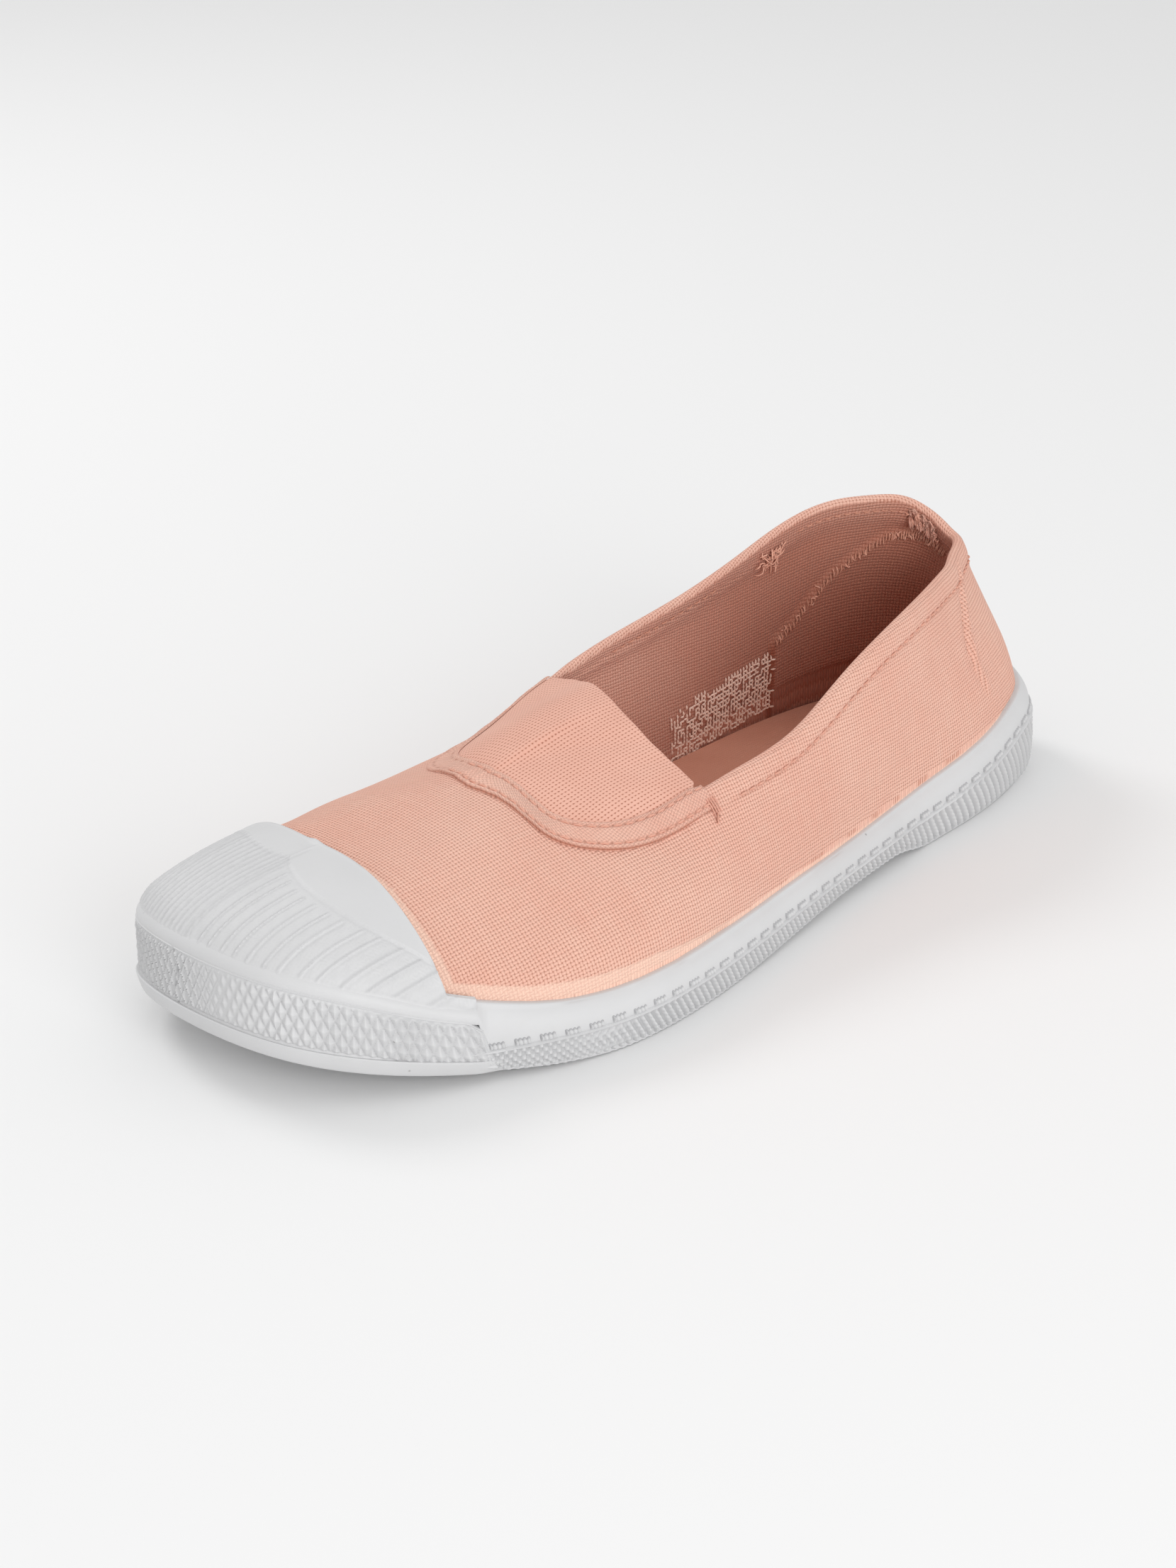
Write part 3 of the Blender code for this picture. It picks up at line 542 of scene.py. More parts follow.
def grid_quads(rows, columns, wrap=False):
    """Faces between neighbours of a grid, whose first axis closes to a ring where wrap is set."""
    i, k = np.meshgrid(np.arange(rows if wrap else rows - 1), np.arange(columns - 1), indexing="ij")
    j = (i + 1) % rows
    return np.stack((i * columns + k, j * columns + k, j * columns + k + 1, i * columns + k + 1),
                    -1).reshape(-1, 4)


def build(name, grid, ring, surface, uv=None, fields=None, node=None, sharp=60):
    """One closed piece from a grid whose second axis runs around a profile.

    In a ring the last profile joins the first, otherwise both ends are closed. uv holds one more column
    than the grid, and in a ring one more row.
    """
    n, m = grid.shape[:2]
    points = grid.reshape(-1, 3)
    a, b = np.meshgrid(np.arange(n if ring else n - 1), np.arange(m), indexing="ij")
    c, d = (a + 1) % n, (b + 1) % m
    faces = np.stack((a * m + b, c * m + b, c * m + d, a * m + d), axis=-1).reshape(-1, 4)
    corners = np.stack([np.stack(pair, -1) for pair in ((a, b), (a + 1, b), (a + 1, b + 1), (a, b + 1))],
                       axis=2).reshape(-1, 4, 2)
    if not ring:
        k = np.arange(m // 2 - 1)
        for row, order in ((0, 1), (n - 1, -1)):
            cap = np.stack((k, k + 1, m - 2 - k, m - 1 - k), axis=-1)[:, ::order]
            faces = np.vstack((faces, row * m + cap))
            corners = np.vstack((corners, np.stack((np.full_like(cap, row), cap), axis=-1)))
    if not look_outward(points, faces):
        faces, corners = faces[:, ::-1], corners[:, ::-1]
    if uv is not None:
        uv = uv[corners[..., 0].ravel(), corners[..., 1].ravel()]
    return make_piece(name, points, [faces], surface, node, sharp, uv, fields)


def evened(profile):
    """Profiles with an even number of points; the added one lies between the last and the first."""
    if profile.shape[1] % 2:
        profile = np.concatenate((profile, ((profile[:, -1] + profile[:, 0]) / 2)[:, None]), axis=1)
    return profile


def tubes(name, paths, radius, surface):
    """Threads: one closed tube along each path of points, in one piece."""
    vertices, faces, base, sides = [], [], 0, TUBE_SIDES
    angle = np.linspace(0, 2 * math.pi, sides, endpoint=False)[None, :, None]
    for path in paths:
        count = len(path)
        tangent = np.gradient(path, axis=0)
        tangent /= np.linalg.norm(tangent, axis=1)[:, None] + 1e-12
        helper = np.where(np.abs(tangent[:, 2:3]) < 0.9, (0, 0, 1.0), (1.0, 0, 0))
        side = np.cross(tangent, helper)
        side /= np.linalg.norm(side, axis=1)[:, None]
        up = np.cross(side, tangent)
        width = np.full(count, radius)
        width[0] = width[-1] = radius * 0.35
        ring = side[:, None] * np.cos(angle) + up[:, None] * np.sin(angle)
        vertices.append((path[:, None] + ring * width[:, None, None]).reshape(-1, 3))
        i, k = np.meshgrid(np.arange(count - 1), np.arange(sides), indexing="ij")
        n = (k + 1) % sides
        here, ahead = base + i * sides, base + (i + 1) * sides
        faces.append(np.stack((here + k, ahead + k, ahead + n, here + n), axis=-1).reshape(-1, 4))
        for row, order in ((0, 1), (count - 1, -1)):
            start = base + row * sides
            for a in range(1, sides - 2, 2):
                faces.append(np.array([[start, start + a, start + a + 1, start + a + 2][::order]]))
        base += count * sides
    return make_piece(name, np.vstack(vertices), [np.vstack(faces)], surface)


def hump(count):
    """Half a wave, 0 at both ends."""
    return np.sin(np.linspace(0, np.pi, count))


def plate(name, side, columns, low, high, surface, node, flat_map=False):
    """A plate from rows of points around its rim, with a lattice across its lowest and its highest row.

    low and high give the height of a lattice from x, distance from the heel and distance from the rim.
    """
    n, m = side.shape[:2]
    half = n // 2
    vertices, faces, base = [side.reshape(-1, 3)], [grid_quads(n, m, True)], n * m
    f = np.linspace(0, 1, columns)[None, :, None]
    for level, height in ((0, low), (m - 1, high)):
        rim = side[:, level]
        grid = rim[1:half][:, None] * (1 - f) + rim[n - 1:half:-1][:, None] * f
        reach = np.minimum(np.linalg.norm(grid - grid[:, :1], axis=2),
                           np.linalg.norm(grid - grid[:, -1:], axis=2))
        grid[..., 2] = height(*measures(grid)[:2], reach)
        inner = grid[:, 1:-1].reshape(-1, 3)
        vertices.append(inner)
        index = np.zeros((half + 1, columns), int)
        index[1:half, 1:-1] = base + np.arange(len(inner)).reshape(half - 1, columns - 2)
        index[1:half, 0] = np.arange(1, half) * m + level
        index[1:half, -1] = np.arange(n - 1, half, -1) * m + level
        index[0, :] = level
        index[half, :] = half * m + level
        a, b, c, d = index[1:half - 1, :-1], index[2:half, :-1], index[2:half, 1:], index[1:half - 1, 1:]
        faces.append(np.stack((a, b, c, d), -1).reshape(-1, 4))
        faces.append(np.stack((index[0, :-1], index[1, :-1], index[1, 1:]), -1))
        faces.append(np.stack((index[half - 1, :-1], index[half, :-1], index[half - 1, 1:]), -1))
        base += len(inner)
    vertices = np.vstack(vertices)
    uv = np.concatenate([vertices[group.ravel(), :2] for group in faces]) if flat_map else None
    return make_piece(name, vertices, faces, surface, node, 45, uv, turn=True)


# Colours and material graphs

CANVAS = (0.865, 0.468, 0.360)
CANVAS_DARK = (0.50, 0.20, 0.13)
CANVAS_PALE = (0.92, 0.60, 0.48)
SHADOW = (0.38, 0.112, 0.060)
LIGHT_EDGE = (0.95, 0.63, 0.50)
KNIT = (0.79, 0.425, 0.325)
KNIT_PALE = (0.84, 0.475, 0.37)
KNIT_PORE = (0.42, 0.15, 0.09)
INSOLE = (0.74, 0.345, 0.235)
INSOLE_PALE = (0.81, 0.40, 0.28)
RUBBER = (0.605, 0.605, 0.61)
RUBBER_SPECK = (0.22, 0.21, 0.20)
RUBBER_DUST = (0.56, 0.55, 0.53)
# Colour of the painted shade in the rubber's grooves and hollows
RUBBER_PIT_SHADE = (0.34, 0.34, 0.35)
PAPER = (0.86, 0.86, 0.86)
WHITE = (1.0, 1.0, 1.0)
SHEEN_TINT = (1.0, 0.85, 0.78)


def blend(a, b, share):
    """Colour between two colours."""
    return tuple((1 - share) * p + share * q for p, q in zip(a, b))


class Graph:
    """Short names for the nodes of one material."""

    def __init__(self, name):
        self.material = bpy.data.materials.new(name)
        self.material.use_nodes = True
        self.tree = self.material.node_tree
        self.shader = self.tree.nodes["Principled BSDF"]

    def put(self, socket, value):
        if isinstance(value, bpy.types.NodeSocket):
            self.tree.links.new(value, socket)
        elif isinstance(value, tuple) and len(value) == 3 and socket.type == "RGBA":
            socket.default_value = (*value, 1.0)
        else:
            socket.default_value = value

    def math(self, kind, *values, clamp=False):
        node = self.tree.nodes.new("ShaderNodeMath")
        node.operation = kind
        node.use_clamp = clamp
        for socket, value in zip(node.inputs, values):
            self.put(socket, value)
        return node.outputs[0]

    def times(self, a, b):
        return self.math("MULTIPLY", a, b)

    def plus(self, a, b):
        return self.math("ADD", a, b)

    def flip(self, value):
        return self.math("SUBTRACT", 1.0, value)

    def ramp(self, low, high, value):
        node = self.tree.nodes.new("ShaderNodeMapRange")
        node.interpolation_type = "SMOOTHSTEP"
        self.put(node.inputs["Value"], value)
        self.put(node.inputs["From Min"], low)
        self.put(node.inputs["From Max"], high)
        return node.outputs["Result"]

    def mix(self, share, a, b):
        node = self.tree.nodes.new("ShaderNodeMix")
        node.data_type = "RGBA"
        self.put(node.inputs[0], share)
        self.put(node.inputs[6], a)
        self.put(node.inputs[7], b)
        return node.outputs[2]

    def place(self):
        return self.tree.nodes.new("ShaderNodeTexCoord").outputs["Object"]

    def scaled(self, vector, scale):
        node = self.tree.nodes.new("ShaderNodeVectorMath")
        node.operation = "MULTIPLY"
        self.put(node.inputs[0], vector)
        node.inputs[1].default_value = scale
        return node.outputs[0]

    def cloth(self):
        node = self.tree.nodes.new("ShaderNodeUVMap")
        node.uv_map = "cloth"
        return node.outputs[0]

    def split(self, vector):
        node = self.tree.nodes.new("ShaderNodeSeparateXYZ")
        self.put(node.inputs[0], vector)
        return node.outputs[0], node.outputs[1], node.outputs[2]

    def noise(self, vector, scale, detail=2.0, rough=0.5):
        node = self.tree.nodes.new("ShaderNodeTexNoise")
        self.put(node.inputs["Vector"], vector)
        node.inputs["Scale"].default_value = scale
        node.inputs["Detail"].default_value = detail
        node.inputs["Roughness"].default_value = rough
        return node.outputs[0]

    def spots(self, vector, scale):
        node = self.tree.nodes.new("ShaderNodeTexVoronoi")
        self.put(node.inputs["Vector"], vector)
        node.inputs["Scale"].default_value = scale
        return node.outputs["Distance"]

    def field(self, name):
        node = self.tree.nodes.new("ShaderNodeAttribute")
        node.attribute_name = name
        return node.outputs["Fac"]

    def bump(self, height, depth, strength=1.0):
        node = self.tree.nodes.new("ShaderNodeBump")
        self.put(node.inputs["Height"], height)
        node.inputs["Distance"].default_value = depth
        node.inputs["Strength"].default_value = strength
        return node.outputs[0]

    def done(self, colour, roughness, normal=None, sheen=0.0, tint=WHITE):
        self.put(self.shader.inputs["Base Color"], colour)
        self.put(self.shader.inputs["Roughness"], roughness)
        if normal is not None:
            self.put(self.shader.inputs["Normal"], normal)
        self.shader.inputs["Sheen Weight"].default_value = sheen
        self.shader.inputs["Sheen Tint"].default_value = (*tint, 1.0)
        return self.material


def woven(g, pitch):
    """Plain weave on the cloth map: height of the threads, depth of the pores and lumps, each 0 to 1."""
    uv = g.cloth()
    waves = []
    for part, size in zip(g.split(uv), (90.0, 140.0)):
        drift = g.math("SUBTRACT", g.noise(uv, size, 3.0, 0.6), 0.5)
        waves.append(g.math("SINE", g.math("MULTIPLY_ADD", part, math.pi / pitch, g.times(drift, 2.8))))
    fat = g.noise(g.scaled(uv, (60.0, 900.0, 1.0)), 1.0, 1.0, 0.5)
    thin = g.noise(g.scaled(uv, (900.0, 60.0, 1.0)), 1.0, 1.0, 0.5)
    cross = g.times(*waves)
    warp, weft = (g.math("MULTIPLY_ADD", cross, over,
                         g.times(g.math("POWER", g.math("ABSOLUTE", wave), 0.6), 0.58))
                  for wave, over in zip(waves, (0.42, -0.42)))
    height = g.math("MAXIMUM", warp, weft)
    lumps = g.plus(g.times(fat, 0.5), g.times(thin, 0.5))
    pore = g.flip(g.ramp(0.20, 0.66, height))
    return g.math("MULTIPLY_ADD", lumps, 0.35, height), pore, lumps


def canvas_material(name, pitch=0.85 * MM, strip=True, pores=0.92):
    """Plain-weave cotton: threads, pores, soft fading, a paler raw band where the field raw is set, and
    painted shade from a second field.
    """
    g = Graph(name)
    height, pore, lumps = woven(g, pitch)
    place = g.place()
    fade = g.noise(place, 35.0, 3.0, 0.55)
    fuzz = g.noise(place, 900.0, 2.0, 0.6)
    colour = g.mix(g.ramp(0.3, 0.75, fade), CANVAS, blend(CANVAS, CANVAS_PALE, 0.5))
    colour = g.mix(g.times(g.ramp(0.35, 0.75, lumps), 0.35), colour, CANVAS_PALE)
    colour = g.mix(g.times(pore, pores), colour, CANVAS_DARK)
    colour = g.mix(g.times(g.ramp(0.5, 0.85, fuzz), 0.12), colour, CANVAS_PALE)
    if strip:
        frayed = g.math("SUBTRACT", g.noise(g.cloth(), 700.0, 2.0, 0.7), 0.5)
        ragged = g.plus(g.field("raw"), g.times(frayed, 0.35))
        edge = g.times(g.ramp(0.30, 0.46, ragged), g.flip(g.ramp(0.5, 0.62, ragged)))
        pale = g.mix(g.times(pore, 0.42), LIGHT_EDGE, CANVAS)
        colour = g.mix(g.ramp(0.44, 0.56, ragged), colour, pale)
        colour = g.mix(g.times(edge, 0.55), colour, LIGHT_EDGE)
    # Painted shade where the vertex field sets it: over the inside of the wall, in sewn grooves and stitch
    # holes, under the binding's front edge and in the heel tape's crumples
    colour = g.mix(g.field("painted_shade"), colour, SHADOW)
    normal = g.bump(g.math("MULTIPLY_ADD", fuzz, 0.25, height), 0.36 * MM)
    return g.done(colour, 0.92, normal, 0.12, SHEEN_TINT)


def knit_material():
    """Fine rib knit: wales that run front to back with rows of small pores, and painted shade on its
    underside.
    """
    g = Graph("gore_knit")
    uv = g.cloth()
    u, v, _ = g.split(uv)
    drift = g.noise(uv, 120.0, 2.0, 0.5)
    u = g.math("MULTIPLY_ADD", u, math.pi / (1.02 * MM), g.times(drift, 1.2))
    v = g.math("MULTIPLY_ADD", v, math.pi / (1.05 * MM), g.times(drift, 1.5))
    wale = g.math("ABSOLUTE", g.math("SINE", u))
    # Each wale's stitches are V shaped: the course shifts with the place across the wale
    course = g.math("ABSOLUTE", g.math("SINE", g.plus(v, g.times(wale, 0.9))))
    height = g.plus(g.times(g.math("POWER", wale, 0.7), 0.6), g.times(g.math("POWER", course, 0.7), 0.4))
    hole = g.times(g.flip(g.ramp(0.22, 0.72, wale)), g.flip(g.ramp(0.32, 0.88, course)))
    place = g.place()
    fade = g.noise(place, 60.0, 3.0, 0.55)
    fuzz = g.noise(place, 1100.0, 2.0, 0.6)
    colour = g.mix(g.ramp(0.3, 0.8, fade), KNIT, KNIT_PALE)
    colour = g.mix(g.times(hole, 0.95), colour, KNIT_PORE)
    colour = g.mix(g.times(g.flip(g.ramp(0.2, 0.7, height)), 0.25), colour, CANVAS_DARK)
    # Painted shade where the vertex field sets it: the panel's underside
    colour = g.mix(g.field("painted_shade"), colour, CANVAS_DARK)
    normal = g.bump(g.math("MULTIPLY_ADD", fuzz, 0.2, height), 0.25 * MM, 0.8)
    return g.done(colour, 0.94, normal, 0.15, SHEEN_TINT)


def rubber_material(name, depth):
    """Off-white vulcanised rubber: soft mottling, tiny pits and a few specks; painted shade where its vertex
    field is set.
    """
    g = Graph(name)
    place = g.place()
    cloud = g.noise(place, 45.0, 3.0, 0.5)
    grain = g.noise(place, 900.0, 3.0, 0.6)
    wide = g.noise(place, 260.0, 3.0, 0.6)
    speck = g.times(g.flip(g.ramp(0.03, 0.055, g.spots(place, 150.0))),
                    g.ramp(0.60, 0.66, g.noise(place, 120.0, 0.0, 0.5)))
    colour = g.mix(g.ramp(0.25, 0.75, cloud), RUBBER, tuple(1.05 * c for c in RUBBER))
    colour = g.mix(g.times(speck, 0.55), colour, RUBBER_SPECK)
    colour = g.mix(g.times(g.ramp(0.55, 0.8, wide), 0.10), colour, RUBBER_DUST)
    # Painted shade in the grooves, hollows and cracks of each piece
    colour = g.mix(g.math("MULTIPLY", g.field("pit_shade"), 0.50, clamp=True), colour, RUBBER_PIT_SHADE)
    normal = g.bump(g.plus(g.times(grain, 0.5), g.times(wide, 0.5)), depth, 0.5)
    return g.done(colour, g.math("MULTIPLY_ADD", grain, 0.12, 0.46), normal)


def thread_material(name, base, dark=CANVAS_DARK):
    """Twisted sewing thread."""
    g = Graph(name)
    twist = g.noise(g.place(), 1500.0, 2.0, 0.6)
    colour = g.mix(g.ramp(0.3, 0.7, twist), base, blend(base, dark, 0.25))
    return g.done(colour, 0.85, g.bump(twist, 0.08 * MM, 0.6), 0.1)


def insole_material():
    """Thin cloth over foam."""
    g = Graph("insole_cloth_salmon")
    height, pore, _ = woven(g, 0.75 * MM)
    fade = g.noise(g.place(), 50.0, 3.0, 0.55)
    colour = g.mix(g.ramp(0.3, 0.75, fade), INSOLE, INSOLE_PALE)
    colour = g.mix(g.times(pore, 0.35), colour, CANVAS_DARK)
    return g.done(colour, 0.93, g.bump(height, 0.15 * MM, 0.6), 0.1, SHEEN_TINT)


canvas = canvas_material("canvas_outer")
canvas_tape = canvas_material("canvas_tape", 0.75 * MM, False, 0.42)
knit = knit_material()
rubber = rubber_material("rubber_smooth", 0.05 * MM)
rubber_cap = rubber_material("rubber_cap", 0.15 * MM)
insole_cloth = insole_material()
thread = thread_material("sewing_thread", (0.76, 0.40, 0.30))
fray = thread_material("frayed_thread", (0.84, 0.46, 0.34))
gauze = thread_material("gauze_thread", (1.0, 0.78, 0.66), (0.90, 0.52, 0.40))
dark_thread = thread_material("lining_thread", (0.66, 0.32, 0.22))


# Cloth map of the upper: real distances along and across, cut open at the heel

def cloth_map(stations, rows):
    """Flattened coordinates on a coarse grid of the upper, by least squares along guide directions."""
    place = np.linspace(0, RING_COUNT, stations)
    safe = place.copy()
    safe[0], safe[-1] = 1e-4, RING_COUNT - 1e-4
    v = np.broadcast_to(np.linspace(0, 1, rows), (stations, rows))
    grid = curve_points(upper_controls(safe), v)
    n = normals(grid, False)
    tangent = np.gradient(grid, axis=0)
    tangent /= np.linalg.norm(tangent, axis=2, keepdims=True)
    side = np.where(place < HALF_RING, 1.0, -1.0)[:, None, None]
    run = LENGTH / 2 - grid[..., 1]
    heel = (1 - ramp(0.12, 0.34, run / LENGTH))[..., None]
    guide = tangent * side * heel + np.array((0, -1.0, 0)) * (1 - heel)
    guide -= n * (guide * n).sum(axis=2, keepdims=True)
    guide /= np.linalg.norm(guide, axis=2, keepdims=True) + 1e-9
    cross = np.cross(n, guide)
    index = np.arange(stations * rows).reshape(stations, rows)
    ends = [(index[:-1].ravel(), index[1:].ravel()), (index[:, :-1].ravel(), index[:, 1:].ravel())]
    a = np.concatenate([e[0] for e in ends])
    b = np.concatenate([e[1] for e in ends])
    flat = grid.reshape(-1, 3)
    step = flat[b] - flat[a]
    weight = 1.0 / (np.linalg.norm(step, axis=1) ** 2 + 1e-8)
    out = []
    for way in (guide, cross):
        way = way.reshape(-1, 3)
        want = ((way[a] + way[b]) / 2 * step).sum(axis=1)
        right = np.bincount(b, weight * want, len(flat)) - np.bincount(a, weight * want, len(flat))
        diag = np.bincount(a, weight, len(flat)) + np.bincount(b, weight, len(flat))

        def apply(x):
            flow = weight * (x[b] - x[a])
            return np.bincount(b, flow, len(flat)) - np.bincount(a, flow, len(flat)) + 1e-6 * x

        x = np.zeros(len(flat))
        r = right - apply(x)
        z = r / diag
        p = z.copy()
        rz = r @ z
        for _ in range(900):
            ap = apply(p)
            alpha = rz / (p @ ap)
            x += alpha * p
            r -= alpha * ap
            z = r / diag
            new = r @ z
            p = z + p * (new / rz)
            rz = new
            if rz < 1e-16:
                break
        out.append(x.reshape(stations, rows))
    return place, np.linspace(0, 1, rows), np.stack(out, axis=-1)


MAP_PLACE, MAP_V, MAP_UV = cloth_map(241, 33)


def cloth_uv(place, v):
    """Cloth coordinates at ring places (n) from 0 to RING_COUNT and shares v (n, m)."""
    i = np.clip(np.searchsorted(MAP_PLACE, place, side="right") - 1, 0, len(MAP_PLACE) - 2)
    s = ((place - MAP_PLACE[i]) / (MAP_PLACE[i + 1] - MAP_PLACE[i]))[:, None, None]
    t = np.clip(v, 0, 1) * (len(MAP_V) - 1)
    k = np.minimum(t.astype(int), len(MAP_V) - 2)
    t = (t - k)[..., None]
    i = i[:, None]
    low = MAP_UV[i, k] * (1 - s) + MAP_UV[i + 1, k] * s
    high = MAP_UV[i, k + 1] * (1 - s) + MAP_UV[i + 1, k + 1] * s
    return low * (1 - t) + high * t


def wander(place, period, seed, octaves=3):
    """Smooth random curve around the ring, about -1 to 1."""
    source = np.random.default_rng(seed)
    total = np.zeros_like(place, dtype=float)
    for octave in range(octaves):
        count = max(3, int(RING_COUNT * STEP / period * 2 ** octave))
        knots = source.uniform(-1, 1, count)
        t = (place % RING_COUNT) / RING_COUNT * count
        i = t.astype(int) % count
        f = t - np.floor(t)
        f = f * f * (3 - 2 * f)
        total += (knots[i] * (1 - f) + knots[(i + 1) % count] * f) / 2 ** octave
    return total / 1.75


# Upper

def hem_amount(place):
    """1 along the collar and 0 along the throat."""
    return 1 - ramp(THROAT_START - 1.5, THROAT_START, place) + ramp(THROAT_END, THROAT_END + 1.5, place)


def cap_rear(x):
    """Distance from the heel of the toe cap's rear edge."""
    across = x / (BALL_WIDTH / 2)
    share = CAP_REAR_SHARE + CAP_REAR_BULGE * np.abs(across) * across
    return share * LENGTH + 1.3 * MM * bell(across, 0.45, 0.3)


def raw_width(place):
    """Width of the pale raw band above the foxing."""
    share = plan(place)[..., 1] / LENGTH
    side = ramp(0.54, 0.72, share) * 2.5 * MM + 0.2 * MM + 0.7 * MM * ramp(0.30, 0.52, share)
    return side * (1 + 0.22 * wander(place, 18 * MM, 3)) + shift(place, FOXING_SHIFT)


def upper_relief(place, grid, s, t):
    """Height added to the canvas at s above its foot and t below its rim: hem, puckers and raw band."""
    x, run, _ = measures(grid)
    p = place[:, None]
    # Folded hem: a soft pillow over the step, a sewn groove, and puckers between the stitches
    inside_hem = 1 - ramp(HEM_WIDTH - 0.5 * MM, HEM_WIDTH + 0.3 * MM, t)
    round_fold = 0.35 * MM * np.sin(np.pi * np.clip(t / HEM_WIDTH, 0, 1))
    round_fold = round_fold * (1 + 0.4 * wander(p, 14 * MM, 11))
    between = 0.75 + 0.25 * np.cos(p * STEP / HEM_STITCH * 2 * np.pi)
    groove = 0.38 * MM * bell(t, HEM_SEAM, 0.55 * MM) * between
    pucker = 0.16 * MM * bell(t, HEM_WIDTH + 0.5 * MM, 1.8 * MM) * wander(p, 5 * MM, 21)
    hem = inside_hem * (HEM_STEP + round_fold) - groove + pucker
    # Raw band: the outer cloth ends above it
    width = raw_width(place)[:, None]
    band = 1 - ramp(width - 0.25 * MM, width + 0.25 * MM, s)
    ragged = 0.5 * MM * wander(x / STEP + HALF_RING, 10 * MM, 5)
    cap_band = ramp(-2.5 * MM, -2.1 * MM, run - cap_rear(x) + ragged)
    return hem_amount(place)[:, None] * hem - 0.30 * MM * np.maximum(band, cap_band)


def soft_raw(place, grid, s):
    """Field for the pale band: above 0.5 inside it, with a soft slope across its border."""
    x, run, _ = measures(grid)
    from_foxing = 0.5 + (raw_width(place)[:, None] - s) / RAW_SLOPE
    before_cap = (1.5 + 1.0 * ramp(-20 * MM, 36 * MM, x)) * MM
    from_cap = 0.5 + (run - cap_rear(x) + before_cap) / RAW_SLOPE
    near = ramp(0.70, 0.76, plan(place)[:, 1:] / LENGTH)
    return np.maximum(from_foxing, np.where(near > 0, from_cap * near, -9.0))


def folds(place, grid, s, t):
    """Creases of the worn canvas at s above its foot and t below its rim; all numbers but angles in mm."""
    x, run, z = (part / MM for part in measures(grid))
    p, s, t = place[:, None], s / MM, t / MM
    add = np.zeros_like(s)
    # Heel pucker: an upright ridge with a groove beside it, on either side of the heel
    for side, centre in ((1, 0.0), (-1, RING_COUNT)):
        line = centre + side * np.interp(z, (30, 36, 42, 50, 57), (6.4, 6.4, 6.0, 5.0, 4.1))
        high = ramp(25, 32, z) * (1 - ramp(51, 58, z))
        add += 0.75 * high * (bell(p, line - side * 0.16, 0.13) - bell(p, line + side * 0.12, 0.10))
    # The heel bulges below the collar's gathered band
    add += 0.35 * (bell(p, 1.5, 4.0) + bell(p, RING_COUNT, 3.5)) * bell(t, 16, 8)
    # Fine folds that fan out below the outer corner of the binding
    for k in range(5):
        angle = math.radians(8 + 17 * k)
        dx, dz = run - 143, z - 37
        down = dx * math.sin(angle) - dz * math.cos(angle)
        off = dx * math.cos(angle) + dz * math.sin(angle)
        mask = ramp(1.5, 4, down) * (1 - ramp(9 + 2 * (k % 2), 17, down)) * (p < HALF_RING)
        add += 0.26 * mask * bell(off, 0.0, 1.0)
    # Soft waves over the vamp and the quarters
    add += 0.5 * bell(run, 196, 9) * bell(x, -20, 16) - 0.5 * bell(run, 206, 6) * bell(x, -12, 20)
    add += 0.30 * np.sin(run / 13.0 + x / 19.0) * ramp(5, 15, s) * ramp(8, 16, t)
    add += 0.22 * wander(p, 22 * MM, 31) * ramp(3, 14, s) * ramp(9, 18, t)
    return add * MM


def lining_relief(p, v, t, length):
    """Thickness added on the inside: counter lining with its sewn edge, heel pad, seam of the hem, sags."""
    p = p % RING_COUNT
    side = np.minimum(p, RING_COUNT - p)
    counter = 1 - ramp(9.3, 9.5, side)
    off = (v - np.interp(side, COUNTER_PLACE, COUNTER_SHARE)) * length
    add = 0.8 * MM * counter * (1 - ramp(-0.5 * MM, 0.2 * MM, off))
    add = add + 0.55 * MM * counter * bell(off, -0.3 * MM, 0.7 * MM) * (1 + 0.6 * wander(p, 3 * MM, 71))
    add -= 0.35 * MM * counter * bell(off, 1.6 * MM, 0.8 * MM)
    add += 2.2 * MM * bell(side, 0, 6.0) * bell(v, 0.16, 0.20)
    add += 0.45 * MM * bell(t, 7.4 * MM, 0.7 * MM) * hem_amount(p) * (1 + 0.5 * wander(p, 4 * MM, 72))
    add -= 0.40 * MM * bell(t, 4.2 * MM, 0.5 * MM) * hem_amount(p)
    add += 0.5 * MM * wander(p, 26 * MM, 73) * bell(v, 0.5, 0.25)
    return add


def lining_depth(place, v, length):
    """Depth of the wall's inner face at ring places (n) and shares v (n, m) of lines of a length (n, 1)."""
    t = (1 - v) * length
    fold = (1 - ramp(HEM_WIDTH - 0.4 * MM, HEM_WIDTH + 0.2 * MM, t)) * hem_amount(place)[:, None]
    plain = CANVAS_THICKNESS - INNER_EASE + fold * HEM_INNER_FOLD
    return plain + lining_relief(place[:, None], v, t, length)


